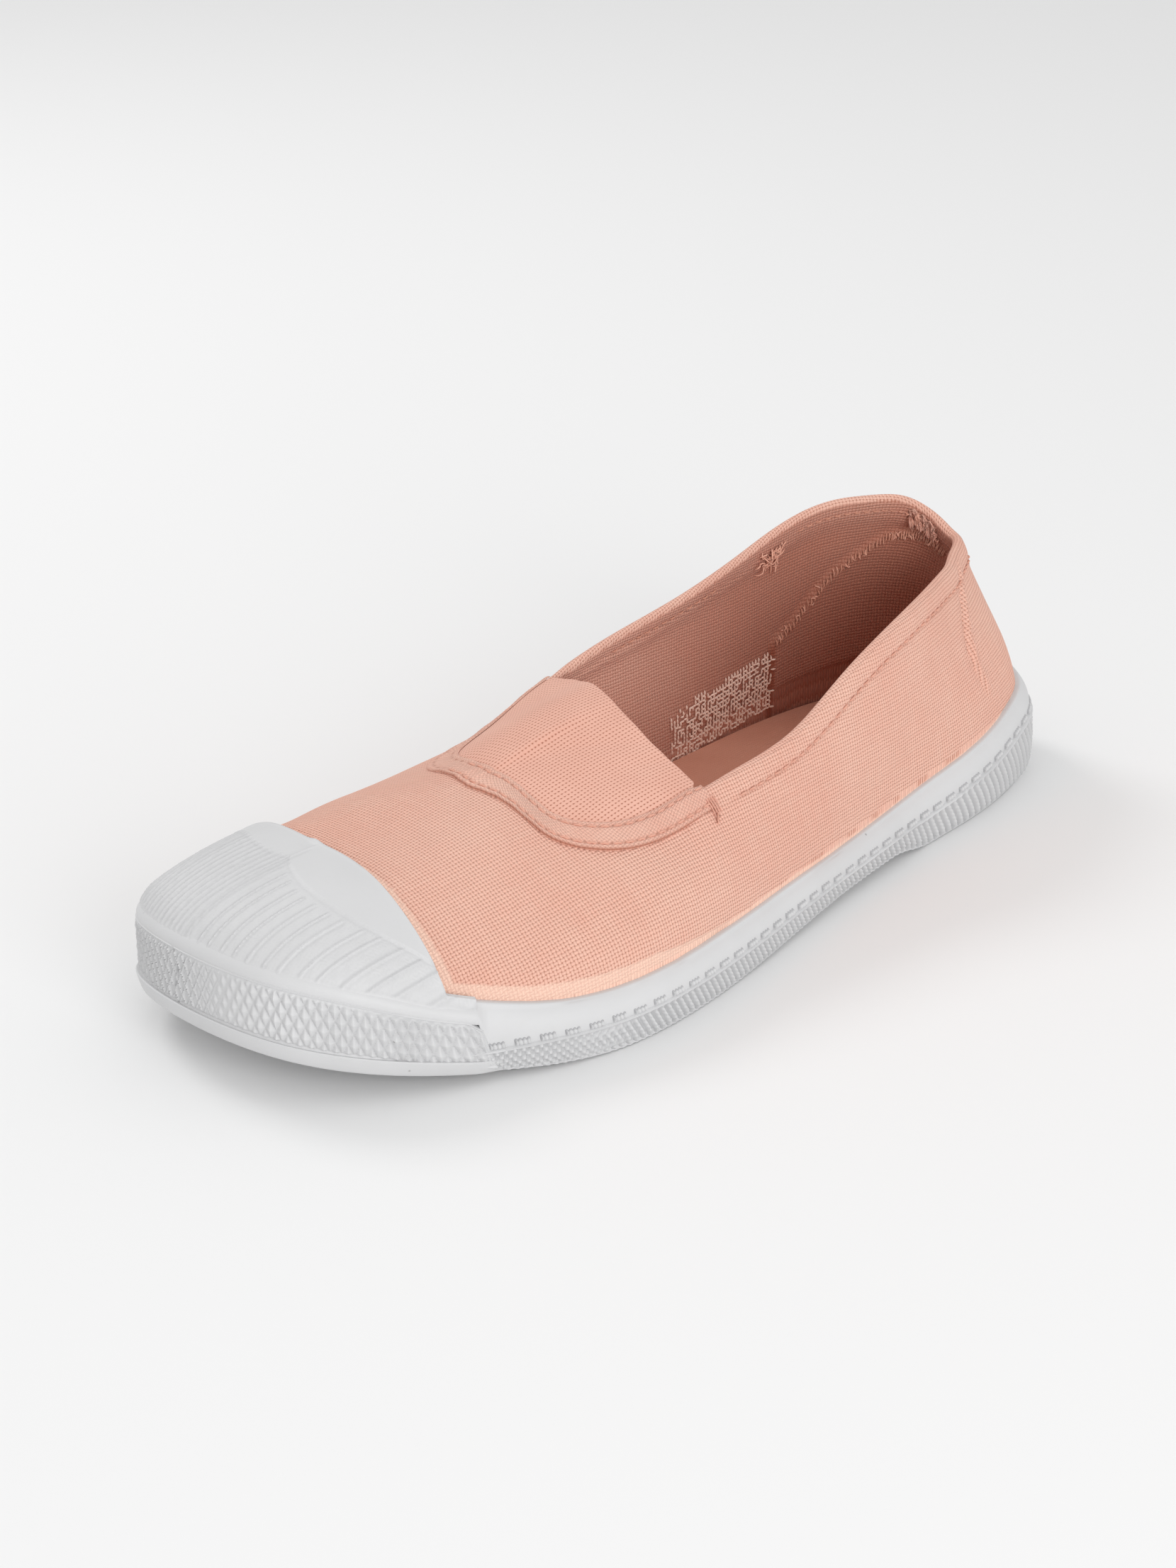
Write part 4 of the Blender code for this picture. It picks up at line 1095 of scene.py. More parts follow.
def build_upper():
    stations, low_rows, hem_rows, inner_rows, edge_rows = 520, 64, 13, 34, 5
    place = np.linspace(0, RING_COUNT, stations, endpoint=False)
    controls = upper_controls(place)
    length = line_lengths(controls)[:, None]
    amount = hem_amount(place)[:, None]
    hem = 1 - (HEM_WIDTH + 0.6 * MM) / length
    low = np.linspace(0, 1, low_rows)[None] * hem
    high = hem + (1 - RIM_GAP / length - hem) * np.linspace(0, 1, hem_rows + 1)[None, 1:]
    v = np.hstack((low, high))
    last = v.shape[1]
    grid = curve_points(controls, v)
    n = normals(grid, True)
    s = climb(grid)
    t = s[:, -1:] + RIM_GAP - s
    outer = grid + n * (upper_relief(place, grid, s, t) + folds(place, grid, s, t))[..., None]
    # Rolled edge: half a circle from the outer face to the inner one
    top, below = (curve_points(controls, np.full((stations, 1), share))[:, 0] for share in (1.0, 0.97))
    up = top - below
    up /= np.linalg.norm(up, axis=1)[:, None]
    out = n[:, -1]
    half = (CANVAS_THICKNESS + (HEM_STEP + HEM_ROLL) * amount) / 2
    middle = top + out * (HEM_STEP * amount - half) - up * half * 0.6
    edge = np.stack([middle + (out * math.cos(angle) + up * math.sin(angle)) * half
                     for angle in np.radians((30, 60, 90, 120, 150))], axis=1)
    v_in = np.linspace(1, 0, inner_rows)[None] * (1 - 0.7 * MM / length)
    inner = curve_points(controls, v_in)
    n_in = normals(inner[:, ::-1], True)[:, ::-1]
    inner = inner - n_in * lining_depth(place, v_in, length)[..., None]
    inset = UPPER_INSET + CANVAS_THICKNESS
    inner[:, -1] = beside(place, inset, foxing_top)
    profile = np.concatenate((beside(place, UPPER_INSET, rim_seat)[:, None], outer, edge, inner,
                              beside(place, inset, rim_seat)[:, None]), axis=1)
    # Cloth map for the whole profile, carried on over the rolled edge
    foot = np.zeros((stations, 1))
    v_all = np.hstack((foot, v, np.ones((stations, edge_rows)), v_in, foot, foot))
    uv = cloth_uv(np.append(place, RING_COUNT - 1e-6), np.vstack((v_all, v_all[:1])))
    way = uv[:, last] - uv[:, last - 3]
    way /= np.linalg.norm(way, axis=1)[:, None] + 1e-9
    first_inner = last + 1 + edge_rows
    for k in range(edge_rows):
        uv[:, last + 1 + k] = uv[:, last] + way * 0.7 * MM * (k + 1)
    uv[:, first_inner:-2] += (way * 3.8 * MM)[:, None]
    # Field of the raw band, and painted shade: a dark line in the hem's sewn groove, shade over the inside
    # of the wall, and a dark line at the counter's edge
    run = plan(place)[:, 1]
    raw, painted_shade = np.zeros(profile.shape[:2]), np.zeros(profile.shape[:2])
    raw[:, 1:last + 1] = soft_raw(place, grid, s)
    raw[:, 0] = raw[:, 1] + (foxing_top(run) - rim_seat(run)) / RAW_SLOPE
    painted_shade[:, 1:last + 1] = 0.34 * amount * bell(t, HEM_SEAM, 0.42 * MM)
    # Painted shade over the inside of the wall: darker towards the heel and lower down, darkest low at the
    # heel, with a painted dark line along the counter's sewn edge
    back = 1 - ramp(45 * MM, 150 * MM, run)[:, None]
    up_wall = np.hstack((v_in, v_in[:, -1:]))
    side = np.minimum(place, RING_COUNT - place)[:, None]
    inside = 0.10 + back * (0.62 - 0.25 * ramp(0.75, 1.0, up_wall))
    inside += 0.22 * bell(side, 0, 5.5) * (1 - ramp(0.35, 0.7, up_wall))
    inside += 0.5 * bell(side, 9.45, 0.10) * (1 - ramp(0.25, 0.34, up_wall))
    painted_shade[:, first_inner:] = inside
    build("upper_canvas", profile, True, canvas, uv, {"raw": raw, "painted_shade": painted_shade}, "upper", 70)


# Gore and binding

def build_gore():
    stations, rows, under = 150, 110, 12
    place = np.linspace(THROAT_START + 0.7, THROAT_END - 0.7, stations)
    first = np.minimum(0.5 * MM / gore_reach(place), 0.3)[:, None]
    w = first + (1 - first) * np.linspace(0, 1, rows)[None]
    grid = gore_points(place, w)
    part = np.linspace(0, 1, stations)[:, None]
    # A soft crest toward the inner side, stronger at the free rear edge, and faint waves of the knit
    add = 0.3 * MM * bell(part, 0.6, 0.2) * ramp(0.3, 1.0, w)
    add = add + 0.06 * MM * np.sin(part * 42 + 3 * w) * ramp(0.0, 0.4, w)
    add = add * ramp(0.0, 0.10, np.minimum(part, 1 - part))
    outer = grid + normals(grid, False) * add[..., None]
    n = normals(outer, False)
    rear = outer[:, -1]
    back = rear - outer[:, -3]
    back /= np.linalg.norm(back, axis=1)[:, None]
    half = GORE_THICKNESS / 2
    lip = np.stack([rear - n[:, -1] * half + (n[:, -1] * math.cos(angle) + back * math.sin(angle)) * half
                    for angle in np.radians((20, 45, 70, 90, 110, 135, 160))], axis=1)
    pick = np.linspace(rows - 1, 0, under).astype(int)
    profile = evened(np.concatenate((outer, lip, outer[:, pick] - n[:, pick] * GORE_THICKNESS), axis=1))
    uv = np.stack((profile[..., 0] * 1.15, profile[..., 1]), axis=-1)
    uv = np.concatenate((uv, uv[:, -1:] + (0, 0.5 * MM)), axis=1)
    # Painted shade on the underside of the panel and of its rolled rear edge
    painted_shade = np.zeros(profile.shape[:2])
    painted_shade[:, rows + 4:] = 0.3
    build("gore_knit_panel", profile, False, knit, uv, {"painted_shade": painted_shade}, "gore", 70)


def binding_route(place, samples):
    """Points under the binding tape, from its front edge on the vamp to its rear edge on the gore."""
    controls = upper_controls(place)
    front = (1 - BINDING_ON_VAMP / line_lengths(controls))[:, None]
    back = np.minimum(BINDING_ON_GORE / gore_reach(place), 0.5)[:, None]
    share = BINDING_ON_VAMP / BINDING_WIDTH
    v = front + (1 - front) * np.clip(samples / share, 0, 1)[None]
    w = back * np.clip((samples - share) / (1 - share), 0, 1)[None]
    return np.where((samples <= share)[None, :, None], curve_points(controls, v), gore_points(place, w))


def build_binding():
    """The tape; returns lines of points with their normals for its two rows of stitches."""
    stations, rows = 330, 26
    place = np.linspace(THROAT_START + 0.15, THROAT_END - 0.15, stations)
    samples = np.linspace(0, 1, rows)
    grid = binding_route(place, samples)
    n = normals(grid, False)
    for _ in range(3):
        n[:, 1:-1] = n[:, :-2] + n[:, 2:] + n[:, 1:-1]
        n /= np.linalg.norm(n, axis=2, keepdims=True)
    across = samples[None] * BINDING_WIDTH
    p = place[:, None]
    # Thinner and flatter on the inner side and at the outer end, with sunk seams and thin borders
    inner_side = ramp(0.60, 0.74, (p - place[0]) / (place[-1] - place[0]))
    add = np.full((stations, rows), 0.85 * MM) - 0.35 * MM * inner_side
    for seam in BINDING_SEAMS:
        add -= (1 - 0.8 * inner_side) * 0.30 * MM * bell(across, seam, 0.45 * MM)
    add += 0.10 * MM * wander(p, 6 * MM, 41) + 0.06 * MM * np.cos(p * STEP * 0.6 / (1.5 * MM))
    add -= 0.35 * MM * (1 - ramp(0, 0.5 * MM, across))
    add -= 0.45 * MM * ramp(BINDING_WIDTH - 0.7 * MM, BINDING_WIDTH, across)
    add -= 0.4 * MM * (1 - ramp(0, 0.15, np.minimum(p - place[0], place[-1] - p)))
    add = np.maximum(add * (0.35 + 0.65 * ramp(0, 1.1, p - place[0])), 0.18 * MM)
    outer = grid + n * add[..., None]
    profile = np.concatenate((outer, (grid + n * 0.10 * MM)[:, ::-1]), axis=1)
    # The tape's own grain runs on a slant across it
    row_v = np.concatenate((samples, samples[::-1])) * BINDING_WIDTH
    u, v = np.broadcast_arrays(along(outer[:, rows // 2])[:, None], row_v[None])
    c, d = math.cos(GRAIN_ANGLE), math.sin(GRAIN_ANGLE)
    uv = np.stack((u * c - v * d, u * d + v * c), axis=-1)
    uv = np.concatenate((uv, uv[:, :1]), axis=1)
    # Painted shade: a faint dark line along each sewn row with darker dots at the stitch holes, and a
    # painted shadow under the tape's front edge, which fades out on the inner side
    painted_shade = np.zeros(profile.shape[:2])
    for seam in BINDING_SEAMS:
        reach = along(outer[:, int(seam / BINDING_WIDTH * (rows - 1))])
        gap = (reach / BINDING_STITCH + 0.5) % 1.0 - 0.5
        painted_shade[:, :rows] += (0.15 + 0.65 * bell(gap, 0, 0.13))[:, None] * bell(across, seam, 0.34 * MM)
    painted_shade[:, 0] = 0.9 * (1 - inner_side[:, 0])
    painted_shade[:, 1] += 0.35 * (1 - inner_side[:, 0])
    build("gore_binding_tape", profile, False, canvas_tape, uv, {"painted_shade": painted_shade},
          "gore_binding", 70)
    lines, keep = [], int(stations * 0.66)
    for seam in BINDING_SEAMS:
        i, f = divmod(seam / BINDING_WIDTH * (rows - 1), 1)
        i = int(i)
        lines.append(((outer[:, i] * (1 - f) + outer[:, i + 1] * f)[:keep], n[:keep, i]))
    return lines


# Rubber

BUMP_START = ring_index(BUMPER_OUTER_END, True)
BUMP_END = ring_index(BUMPER_INNER_END, False)
FACE_ROWS = 16


def toe_zone(place):
    """1 where the bumper runs and 0 beside it."""
    p = np.asarray(place, float) % RING_COUNT
    return ramp(BUMP_START - 0.10, BUMP_START + 0.10, p) * (1 - ramp(BUMP_END - 0.10, BUMP_END + 0.10, p))


def foxing_face(place, q):
    """Smooth band of the foxing from the border of the bumper or ribs (q 0) to the foxing's top (q 1)."""
    place, q = np.broadcast_arrays(place, q)
    run = plan(place)[..., 1]
    toe = toe_zone(place)
    join = (strip_top(run) + shift(place, STRIP_SHIFT)) * (1 - toe) + bumper_top(run) * toe - 0.7 * MM
    first = 1.35 * MM * (1 - toe) + 1.15 * MM * toe
    top = foxing_top(run) + shift(place, FOXING_SHIFT) - FOXING_EDGE
    inset = first + (FOXING_TOP_INSET - first) * np.clip(q, 0, 1) ** 3
    return beside(place, inset, join + (top - join) * q)


def build_cap():
    start = ring_index(CAP_OUTER_FOOT, True) + 0.05
    end = ring_index(CAP_INNER_FOOT, False) - 0.05
    stations, rows, skirt, under = 460, 104, 20, 10
    place = np.linspace(start, end, stations)
    controls = upper_controls(place)
    low, high = np.zeros(stations), np.ones(stations)
    for _ in range(26):
        v = (low + high) / 2
        x, run, _ = measures(curve_points(controls, v[:, None])[:, 0])
        ahead = run > cap_rear(x)
        low, high = np.where(ahead, v, low), np.where(ahead, high, v)
    rear = np.maximum(low, 0.03)
    first = np.minimum(3.2 * MM / line_lengths(controls), rear * 0.6)
    v = first[:, None] + (rear - first)[:, None] * np.linspace(0, 1, rows)[None]
    face = curve_points(controls, v)
    n_face = normals(face, False)
    skin = face + n_face * (CAP_CLEARANCE + CAP_THICKNESS - 0.1 * MM)
    # Skirt: a smooth bend from the border of the bumper up into the skin
    foot, above = foxing_face(place, 0.0), foxing_face(place, 0.25)
    q = np.linspace(0, 1, skirt, endpoint=False)[None, :, None]
    reach = np.linalg.norm(skin[:, 0] - foot, axis=1)[:, None, None]
    rise, into = ((b - a) / np.linalg.norm(b - a, axis=1)[:, None]
                  for a, b in ((foot, above), (skin[:, 0], skin[:, 1])))
    bend = (foot[:, None] * (2 * q ** 3 - 3 * q ** 2 + 1) + rise[:, None] * reach * (q ** 3 - 2 * q ** 2 + q)
            + skin[:, :1] * (3 * q ** 2 - 2 * q ** 3) + into[:, None] * reach * (q ** 3 - q ** 2))
    grid = np.concatenate((bend, skin), axis=1)
    x, run, _ = measures(grid)
    s = climb(grid)
    to_rear = s[:, -1:] - s
    # Crescent band along the rear edge
    ahead = run - np.interp(x / MM, *np.transpose(CRESCENT)) * MM
    band = 1 - ramp(-0.2 * MM, 0.25 * MM, ahead)
    # Ribs that run along the shoe, straight beside the middle seam line
    off = x + 6.0 * MM + (run - 227.4 * MM) * 0.17
    plain = 3.3 * MM + 0.5 * MM * wander(place[:, None], 9 * MM, 81)
    field = (1 - band) * ramp(plain - 0.3 * MM, plain + 0.5 * MM, s)
    lateral = ramp(-3 * MM, 6 * MM, off)
    stretched = off + 0.010 / MM * np.clip(np.abs(off) - 22 * MM, 0, None) ** 2 * np.sign(off)
    number = stretched / CAP_RIB_PITCH + 0.08 * np.sin(off * 900)
    rib_at = number % 1.0
    shadow = bell(rib_at, 0.36, 0.07) + bell(rib_at, 0.64, 0.07) * 0.7
    fine_at = (off / CAP_FINE_PITCH) % 1.0
    # Each rib starts and ends at its own distance from the borders
    own = 1.5 * MM * (0.5 + 0.5 * np.sin(np.floor(number) * 12.9898))
    reached = ramp(0.2 * MM + own, 1.2 * MM + own, ahead)
    seam = bell(off, 0.0, 0.28 * MM) * ramp(220 * MM, 223 * MM, run)
    pebble = np.sin(x * 5200 + 2.3 * np.sin(run * 3100)) * np.sin(run * 4700 + 2.1 * np.sin(x * 2900))
    add = 0.26 * band * ramp(2 * MM, 5 * MM, s)
    add = add + 0.16 * bell(ahead, 0.25 * MM, 0.28 * MM) * ramp(1 * MM, 4 * MM, s)
    add += field * (0.30 * bell(rib_at, 0.5, 0.060) * (0.35 + 0.65 * lateral) * reached
                    - 0.05 * shadow * lateral * reached + 0.24 * bell(fine_at, 0.5, 0.20) * (1 - lateral)
                    + 0.06 * pebble * (0.6 + 0.4 * (1 - lateral)))
    add += 0.24 * seam * (1 - 0.4 * ramp(236 * MM, 246 * MM, run))
    add += 0.12 * bell(s, plain, 0.4 * MM) * (1 - band)
    add += 0.18 * bell(to_rear, 0.5 * MM, 0.5 * MM) - 0.65 * (1 - ramp(0.0, 0.6 * MM, to_rear))
    add += 0.5 * bell(to_rear, 0.4 * MM, 0.9 * MM) * bell(x, -6.5 * MM, 1.8 * MM)
    outer = grid + normals(grid, False) * (add * MM)[..., None]
    # Painted shade: on the ribs' shaded flanks, in the fine valleys and the pebbles' hollows, just ahead of
    # the crescent band's raised border, and beside the middle seam line
    pit_shade = field * (0.32 * shadow * (0.25 + 0.75 * lateral) * reached + 0.18 * np.clip(-pebble, 0, 1)
                   + 0.35 * (bell(fine_at, 0.0, 0.18) + bell(fine_at, 1.0, 0.18)) * (1 - lateral))
    pit_shade += 0.22 * bell(ahead, 0.9 * MM, 0.35 * MM) * ramp(3 * MM, 5 * MM, s)
    pit_shade += 0.35 * bell(off, 0.7 * MM, 0.35 * MM) * ramp(222 * MM, 225 * MM, run)
    # At both corners the skin sinks into the foxing
    ends = np.minimum(place - place[0], place[-1] - place)[:, None]
    q = np.clip(s / (s[:, skirt:skirt + 1] + 1e-9), 0, 1.0)
    sink = ((1 - ramp(0.05, 0.9, ends)) * (1 - ramp(0.75, 1.0, q)))[..., None]
    outer = outer * (1 - sink) + foxing_face(place[:, None], q) * sink
    tuck = np.linspace(rows - 1, 2, under).astype(int)
    inner = face[:, tuck] + n_face[:, tuck] * CAP_CLEARANCE
    back = beside(place, FOXING_INSET + 0.9 * MM, foot[:, 2] + 0.2 * MM)
    profile = evened(np.concatenate((outer, inner, back[:, None]), axis=1))
    fields = np.zeros(profile.shape[:2])
    fields[:, :pit_shade.shape[1]] = pit_shade
    build("toe_cap_rubber", profile, False, rubber_cap, None, {"pit_shade": fields}, "toe_cap")


def build_foxing():
    place = np.linspace(0, RING_COUNT, 760, endpoint=False)
    inner = FOXING_INSET + FOXING_THICKNESS
    run = plan(place)[:, 1]
    q = np.linspace(0, 1, FACE_ROWS)[None]
    face = foxing_face(place[:, None], q)
    swell = 0.10 * MM * wander(place, 30 * MM, 51)[:, None] + 0.12 * MM * np.sin(np.pi * q)
    face[..., :2] += (outward(place) * (1, -1))[:, None] * swell[..., None]
    top = foxing_top(run) + shift(place, FOXING_SHIFT)
    top = top + 0.25 * MM * wander(place, 16 * MM, 52) * (1 - toe_zone(place))
    seat = rim_seat(run)
    rows = [beside(place, FOXING_INSET, seat), beside(place, FOXING_INSET, face[:, 0, 2] - 0.3 * MM)]
    rows += [face[:, k] for k in range(FACE_ROWS)]
    for angle in np.radians((20, 40, 60, 80)):
        rows.append(beside(place, FOXING_TOP_INSET + 0.7 * MM * (1 - math.cos(angle)),
                           top - FOXING_EDGE * (1 - math.sin(angle))))
    for deeper, down in ((-0.05, 0.02), (0.65, 0.10), (0.6, 0.8), (0.0, 1.6)):
        rows.append(beside(place, inner + deeper * MM, top - down * MM))
    rows.append(beside(place, inner, seat))
    profile = np.stack(rows, axis=1)
    # Painted shade along the foot of the face, where it meets the ribs and the bumper
    pit_shade = np.zeros(profile.shape[:2])
    pit_shade[:, 2:2 + FACE_ROWS] = 0.25 * bell(q, 0, 0.12)
    build("foxing_band", profile, True, rubber, None, {"pit_shade": pit_shade}, "foxing")


def strip_line(start, end, step, inset):
    """Evenly spaced ring places between two of them, and the distances along the rim."""
    fine = np.linspace(start, end, 3000)
    reach = along(plan(fine) - outward(fine) * inset)
    where = np.linspace(0, reach[-1], int((end - start) * STEP / step))
    return np.interp(where, reach, fine), where


def build_strip(name, place, inset, height, pit_shade, node):
    """Rubber strip on the foxing: its face from insets and heights, closed by a plain back."""
    face = beside(place, inset, height)
    pick = np.linspace(face.shape[1] - 1, 0, BACK_ROWS).astype(int)
    back = beside(np.broadcast_to(place, height.shape)[:, pick], BACK_INSET, height[:, pick])
    # Painted shade on the face only; the back gets none
    pit_shade = np.concatenate((pit_shade, np.zeros((len(face), BACK_ROWS))), axis=1)
    profile = np.concatenate((face, back), axis=1)
    build(name, profile, False, rubber, None, {"pit_shade": pit_shade}, node)


def build_ribs():
    place, arc = strip_line(BUMP_END - RING_COUNT - 1.1, BUMP_START + 1.1, 0.27 * MM, FOXING_INSET)
    p = place[:, None]
    run = plan(place)[:, 1]
    top = (strip_top(run) + shift(place, STRIP_SHIFT))[:, None]
    base = (seen_ground(run) + 0.25 * MM)[:, None]
    t = np.linspace(0, 1, 34)[None]
    height = base + (top - base) * t
    above, below = height - base, top - height
    from_end = np.minimum(arc, arc[-1] - arc)[:, None]
    # Slanted upright ribs with beads, and a net of dots beside the bumper's ends
    pitch = RIB_PITCH_SIDE + (RIB_PITCH_HEEL - RIB_PITCH_SIDE) * (1 - ramp(55 * MM, 100 * MM, run))
    count = np.concatenate(([0.0], np.cumsum(np.diff(arc) / pitch[1:])))[:, None]
    slant = -0.55 * above * np.where(p < 0, -1, 1)
    rib = np.clip(0.5 + 0.75 * np.cos((count + slant / pitch[:, None]) * 2 * np.pi), 0, 1)
    beads = 0.5 + 0.5 * np.cos(height / (1.15 * MM) * 2 * np.pi)
    mesh_along, mesh_up = (np.cos(part / (1.9 * MM) * 2 * np.pi) for part in (arc[:, None], height))
    dots = np.clip(0.5 + 0.9 * mesh_along * mesh_up, 0, 1)
    net = 1 - ramp(24 * MM, 50 * MM, from_end)
    field = rib * (0.78 + 0.22 * beads) * (1 - net) + dots * net
    groove = (1 - field) * ramp(0.45 * MM, 0.95 * MM, np.minimum(above + 0.6 * MM, below))
    heel = (1 - ramp(40 * MM, 75 * MM, run))[:, None]
    relief = 0.20 * bell(below, 0.45 * MM, 0.25 * MM) - 0.95 * groove
    relief += 0.35 * (1 - t) * (1 - heel) + 0.9 * heel * np.sin(np.pi * np.clip(t * 0.95, 0, 1)) ** 0.8
    relief -= 1.3 * (1 - ramp(0, 3.6 * MM, above)) ** 2 + 0.45 * (1 - ramp(0, 10 * MM, from_end))
    relief -= 0.55 * (1 - ramp(0, 0.35 * MM, below)) + 0.25 * (1 - ramp(0, 0.5 * MM, above))
    relief += 0.06 * wander(p, 5 * MM, 61)
    inset = FOXING_INSET - CLEARANCE - STRIP_THICKNESS - relief * MM
    # Painted shade in the grooves, a little less in the net of dots
    pit_shade = groove ** 1.2 * (1.05 - 0.35 * net)
    build_strip("side_rib_band", p, inset, height, pit_shade, "side_rib_strip")


def build_dashes():
    """Row of small stepped dashes on the foxing, just above the ribbed band."""
    source = np.random.default_rng(7)
    place, arc = strip_line(BUMP_END - RING_COUNT + 0.1, BUMP_START - 0.1, 0.2 * MM, FOXING_INSET)
    vertices, faces, pit_shades, base = [], [], [], 0
    nu, nv = 17, 7
    size = nu * nv
    quads = grid_quads(nu, nv)
    border = np.concatenate((np.arange(nu) * nv, (nu - 1) * nv + np.arange(1, nv),
                             np.arange(nu - 2, -1, -1) * nv + nv - 1, np.arange(nv - 2, 0, -1)))
    after = np.roll(border, -1)
    skirt = np.stack((border, border + size, after + size, after), -1)
    u, t = np.linspace(0, 1, nu)[:, None], np.linspace(0, 1, nv)[None]
    for k in range(int(arc[-1] / DASH_PITCH)):
        first = arc[-1] - (k + 0.75) * DASH_PITCH
        if first < 0:
            break
        a = first + DASH_LENGTH * u
        p = np.interp(a, arc, place)
        teeth = np.abs(np.sin(np.pi * u * 4.0))
        low = strip_top(plan(p)[..., 1]) + shift(p, STRIP_SHIFT) - 0.35 * MM
        height = low + (1.95 + 0.15 * source.uniform(-1, 1)) * MM * (0.82 + 0.18 * teeth) * t
        q = np.interp(a + 0.35 * MM * t, arc, place)
        inside = np.clip(np.minimum(np.minimum(t, 1 - t) * 3.2, np.minimum(u, 1 - u) * 9), 0, 1) ** 0.7
        high = 0.95 * MM * inside * (0.60 + 0.40 * teeth) * (1 - 0.15 * t) - 0.15 * MM
        toe_end = 1 - u if p.mean() > 0 else u
        # Painted shade: a dark line along each dash's top edge and toe-side end and in the grooves between
        # its teeth; the hidden back is fully dark
        dark = 1.7 * np.maximum(ramp(0.66, 0.92, t), (1 - ramp(0.04, 0.16, toe_end)) * ramp(0.1, 0.5, t))
        dark = dark + 0.30 * (1 - teeth) * ramp(0.1, 0.4, t)
        pit_shades += [dark.ravel(), np.ones(size)]
        both = np.concatenate((beside(q, 1.40 * MM - high, height).reshape(-1, 3),
                               beside(q, FOXING_INSET + 0.6 * MM, height).reshape(-1, 3)))
        part = np.vstack((quads, quads[:, ::-1] + size, skirt))
        vertices.append(both)
        faces.append((part if look_outward(both, part) else part[:, ::-1]) + base)
        base += 2 * size
    make_piece("foxing_dashes", np.vstack(vertices), [np.vstack(faces)], rubber, None, 50,
               fields={"pit_shade": np.concatenate(pit_shades)})


def build_bumper():
    place, arc = strip_line(BUMP_START, BUMP_END, 0.24 * MM, FOXING_INSET - CLEARANCE - BUMPER_THICKNESS)
    t = np.linspace(0, 1, 66)[None]
    # Both ends lean: their foot reaches further towards the heel than their top
    end_out, end_in = ((1 - ramp(0, 14 * MM, part))[:, None] * (1 - t) for part in (arc, arc[-1] - arc))
    p = place[:, None] + 3.3 * MM / STEP * (end_in - end_out)
    run = plan(p)[..., 1]
    corner = np.minimum(arc, arc[-1] - arc)[:, None]
    low = ground(run) + 1.1 * MM + 2.2 * MM * ramp(0.84, 0.95, run / LENGTH)
    top = bumper_top(run) - 1.6 * MM * (1 - ramp(0, 4 * MM, corner))
    height = low + (top - low) * t
    edge = np.minimum(height - low, top - height)
    # Staggered diamonds with sharp crests; the field keeps clear of both borders
    u = arc[:, None] / DIAMOND_WIDTH + 0.10 * wander(p, 30 * MM, 91)
    b = (height - low) / DIAMOND_HEIGHT - 0.1
    d1, d2 = (np.abs((part % 1.0) - 0.5) * 2 for part in (u + b, u - b))
    peak = (1 - np.maximum(d1, d2)) ** 0.8
    ridge = np.maximum(bell(d1, 1.0, 0.16), bell(d2, 1.0, 0.16))
    # At the tip a flat net takes over, with a fine crack where the strip's ends meet
    tip_place = HALF_RING + 0.35
    net = bell(place, tip_place + 0.8, 2.6)[:, None]
    crack = bell(p, tip_place + 0.10 + 0.09 * np.sin(t * 7) + 0.1 * t, 0.035)
    mask = ramp(0.8 * MM, 1.3 * MM, edge) * ramp(0.8 * MM, 1.5 * MM, corner)
    relief = 1.25 * mask * (0.85 * peak * (1 - net) + 0.62 * ridge * net) - 0.4 * crack
    relief += 0.30 * bell(edge, 0.45 * MM, 0.26 * MM)
    relief += 0.25 * bell(corner, 0.5 * MM, 0.3 * MM) * ramp(0, 1 * MM, edge)
    relief -= 0.45 * (1 - ramp(0, 0.3 * MM, top - height)) + 0.5 * (1 - ramp(0, 0.4 * MM, corner))
    # Painted shade in the hollows between the diamonds, lightly in the net's cells, and in the crack at the
    # tip
    deep_shade = (1 - np.clip(peak, 0, 1)) ** 2.2 * (1 - net) + (1 - np.clip(ridge, 0, 1)) * 0.20 * net
    pit_shade = mask * deep_shade * (0.46 + 0.30 * net)
    pit_shade = pit_shade + 0.8 * crack * np.clip(0.3 + wander(p * 3 + t * 9, 3 * MM, 95), 0, 1)
    build_strip("toe_bumper_diamonds", p, (1.15 - relief) * MM, height, pit_shade, "toe_bumper")


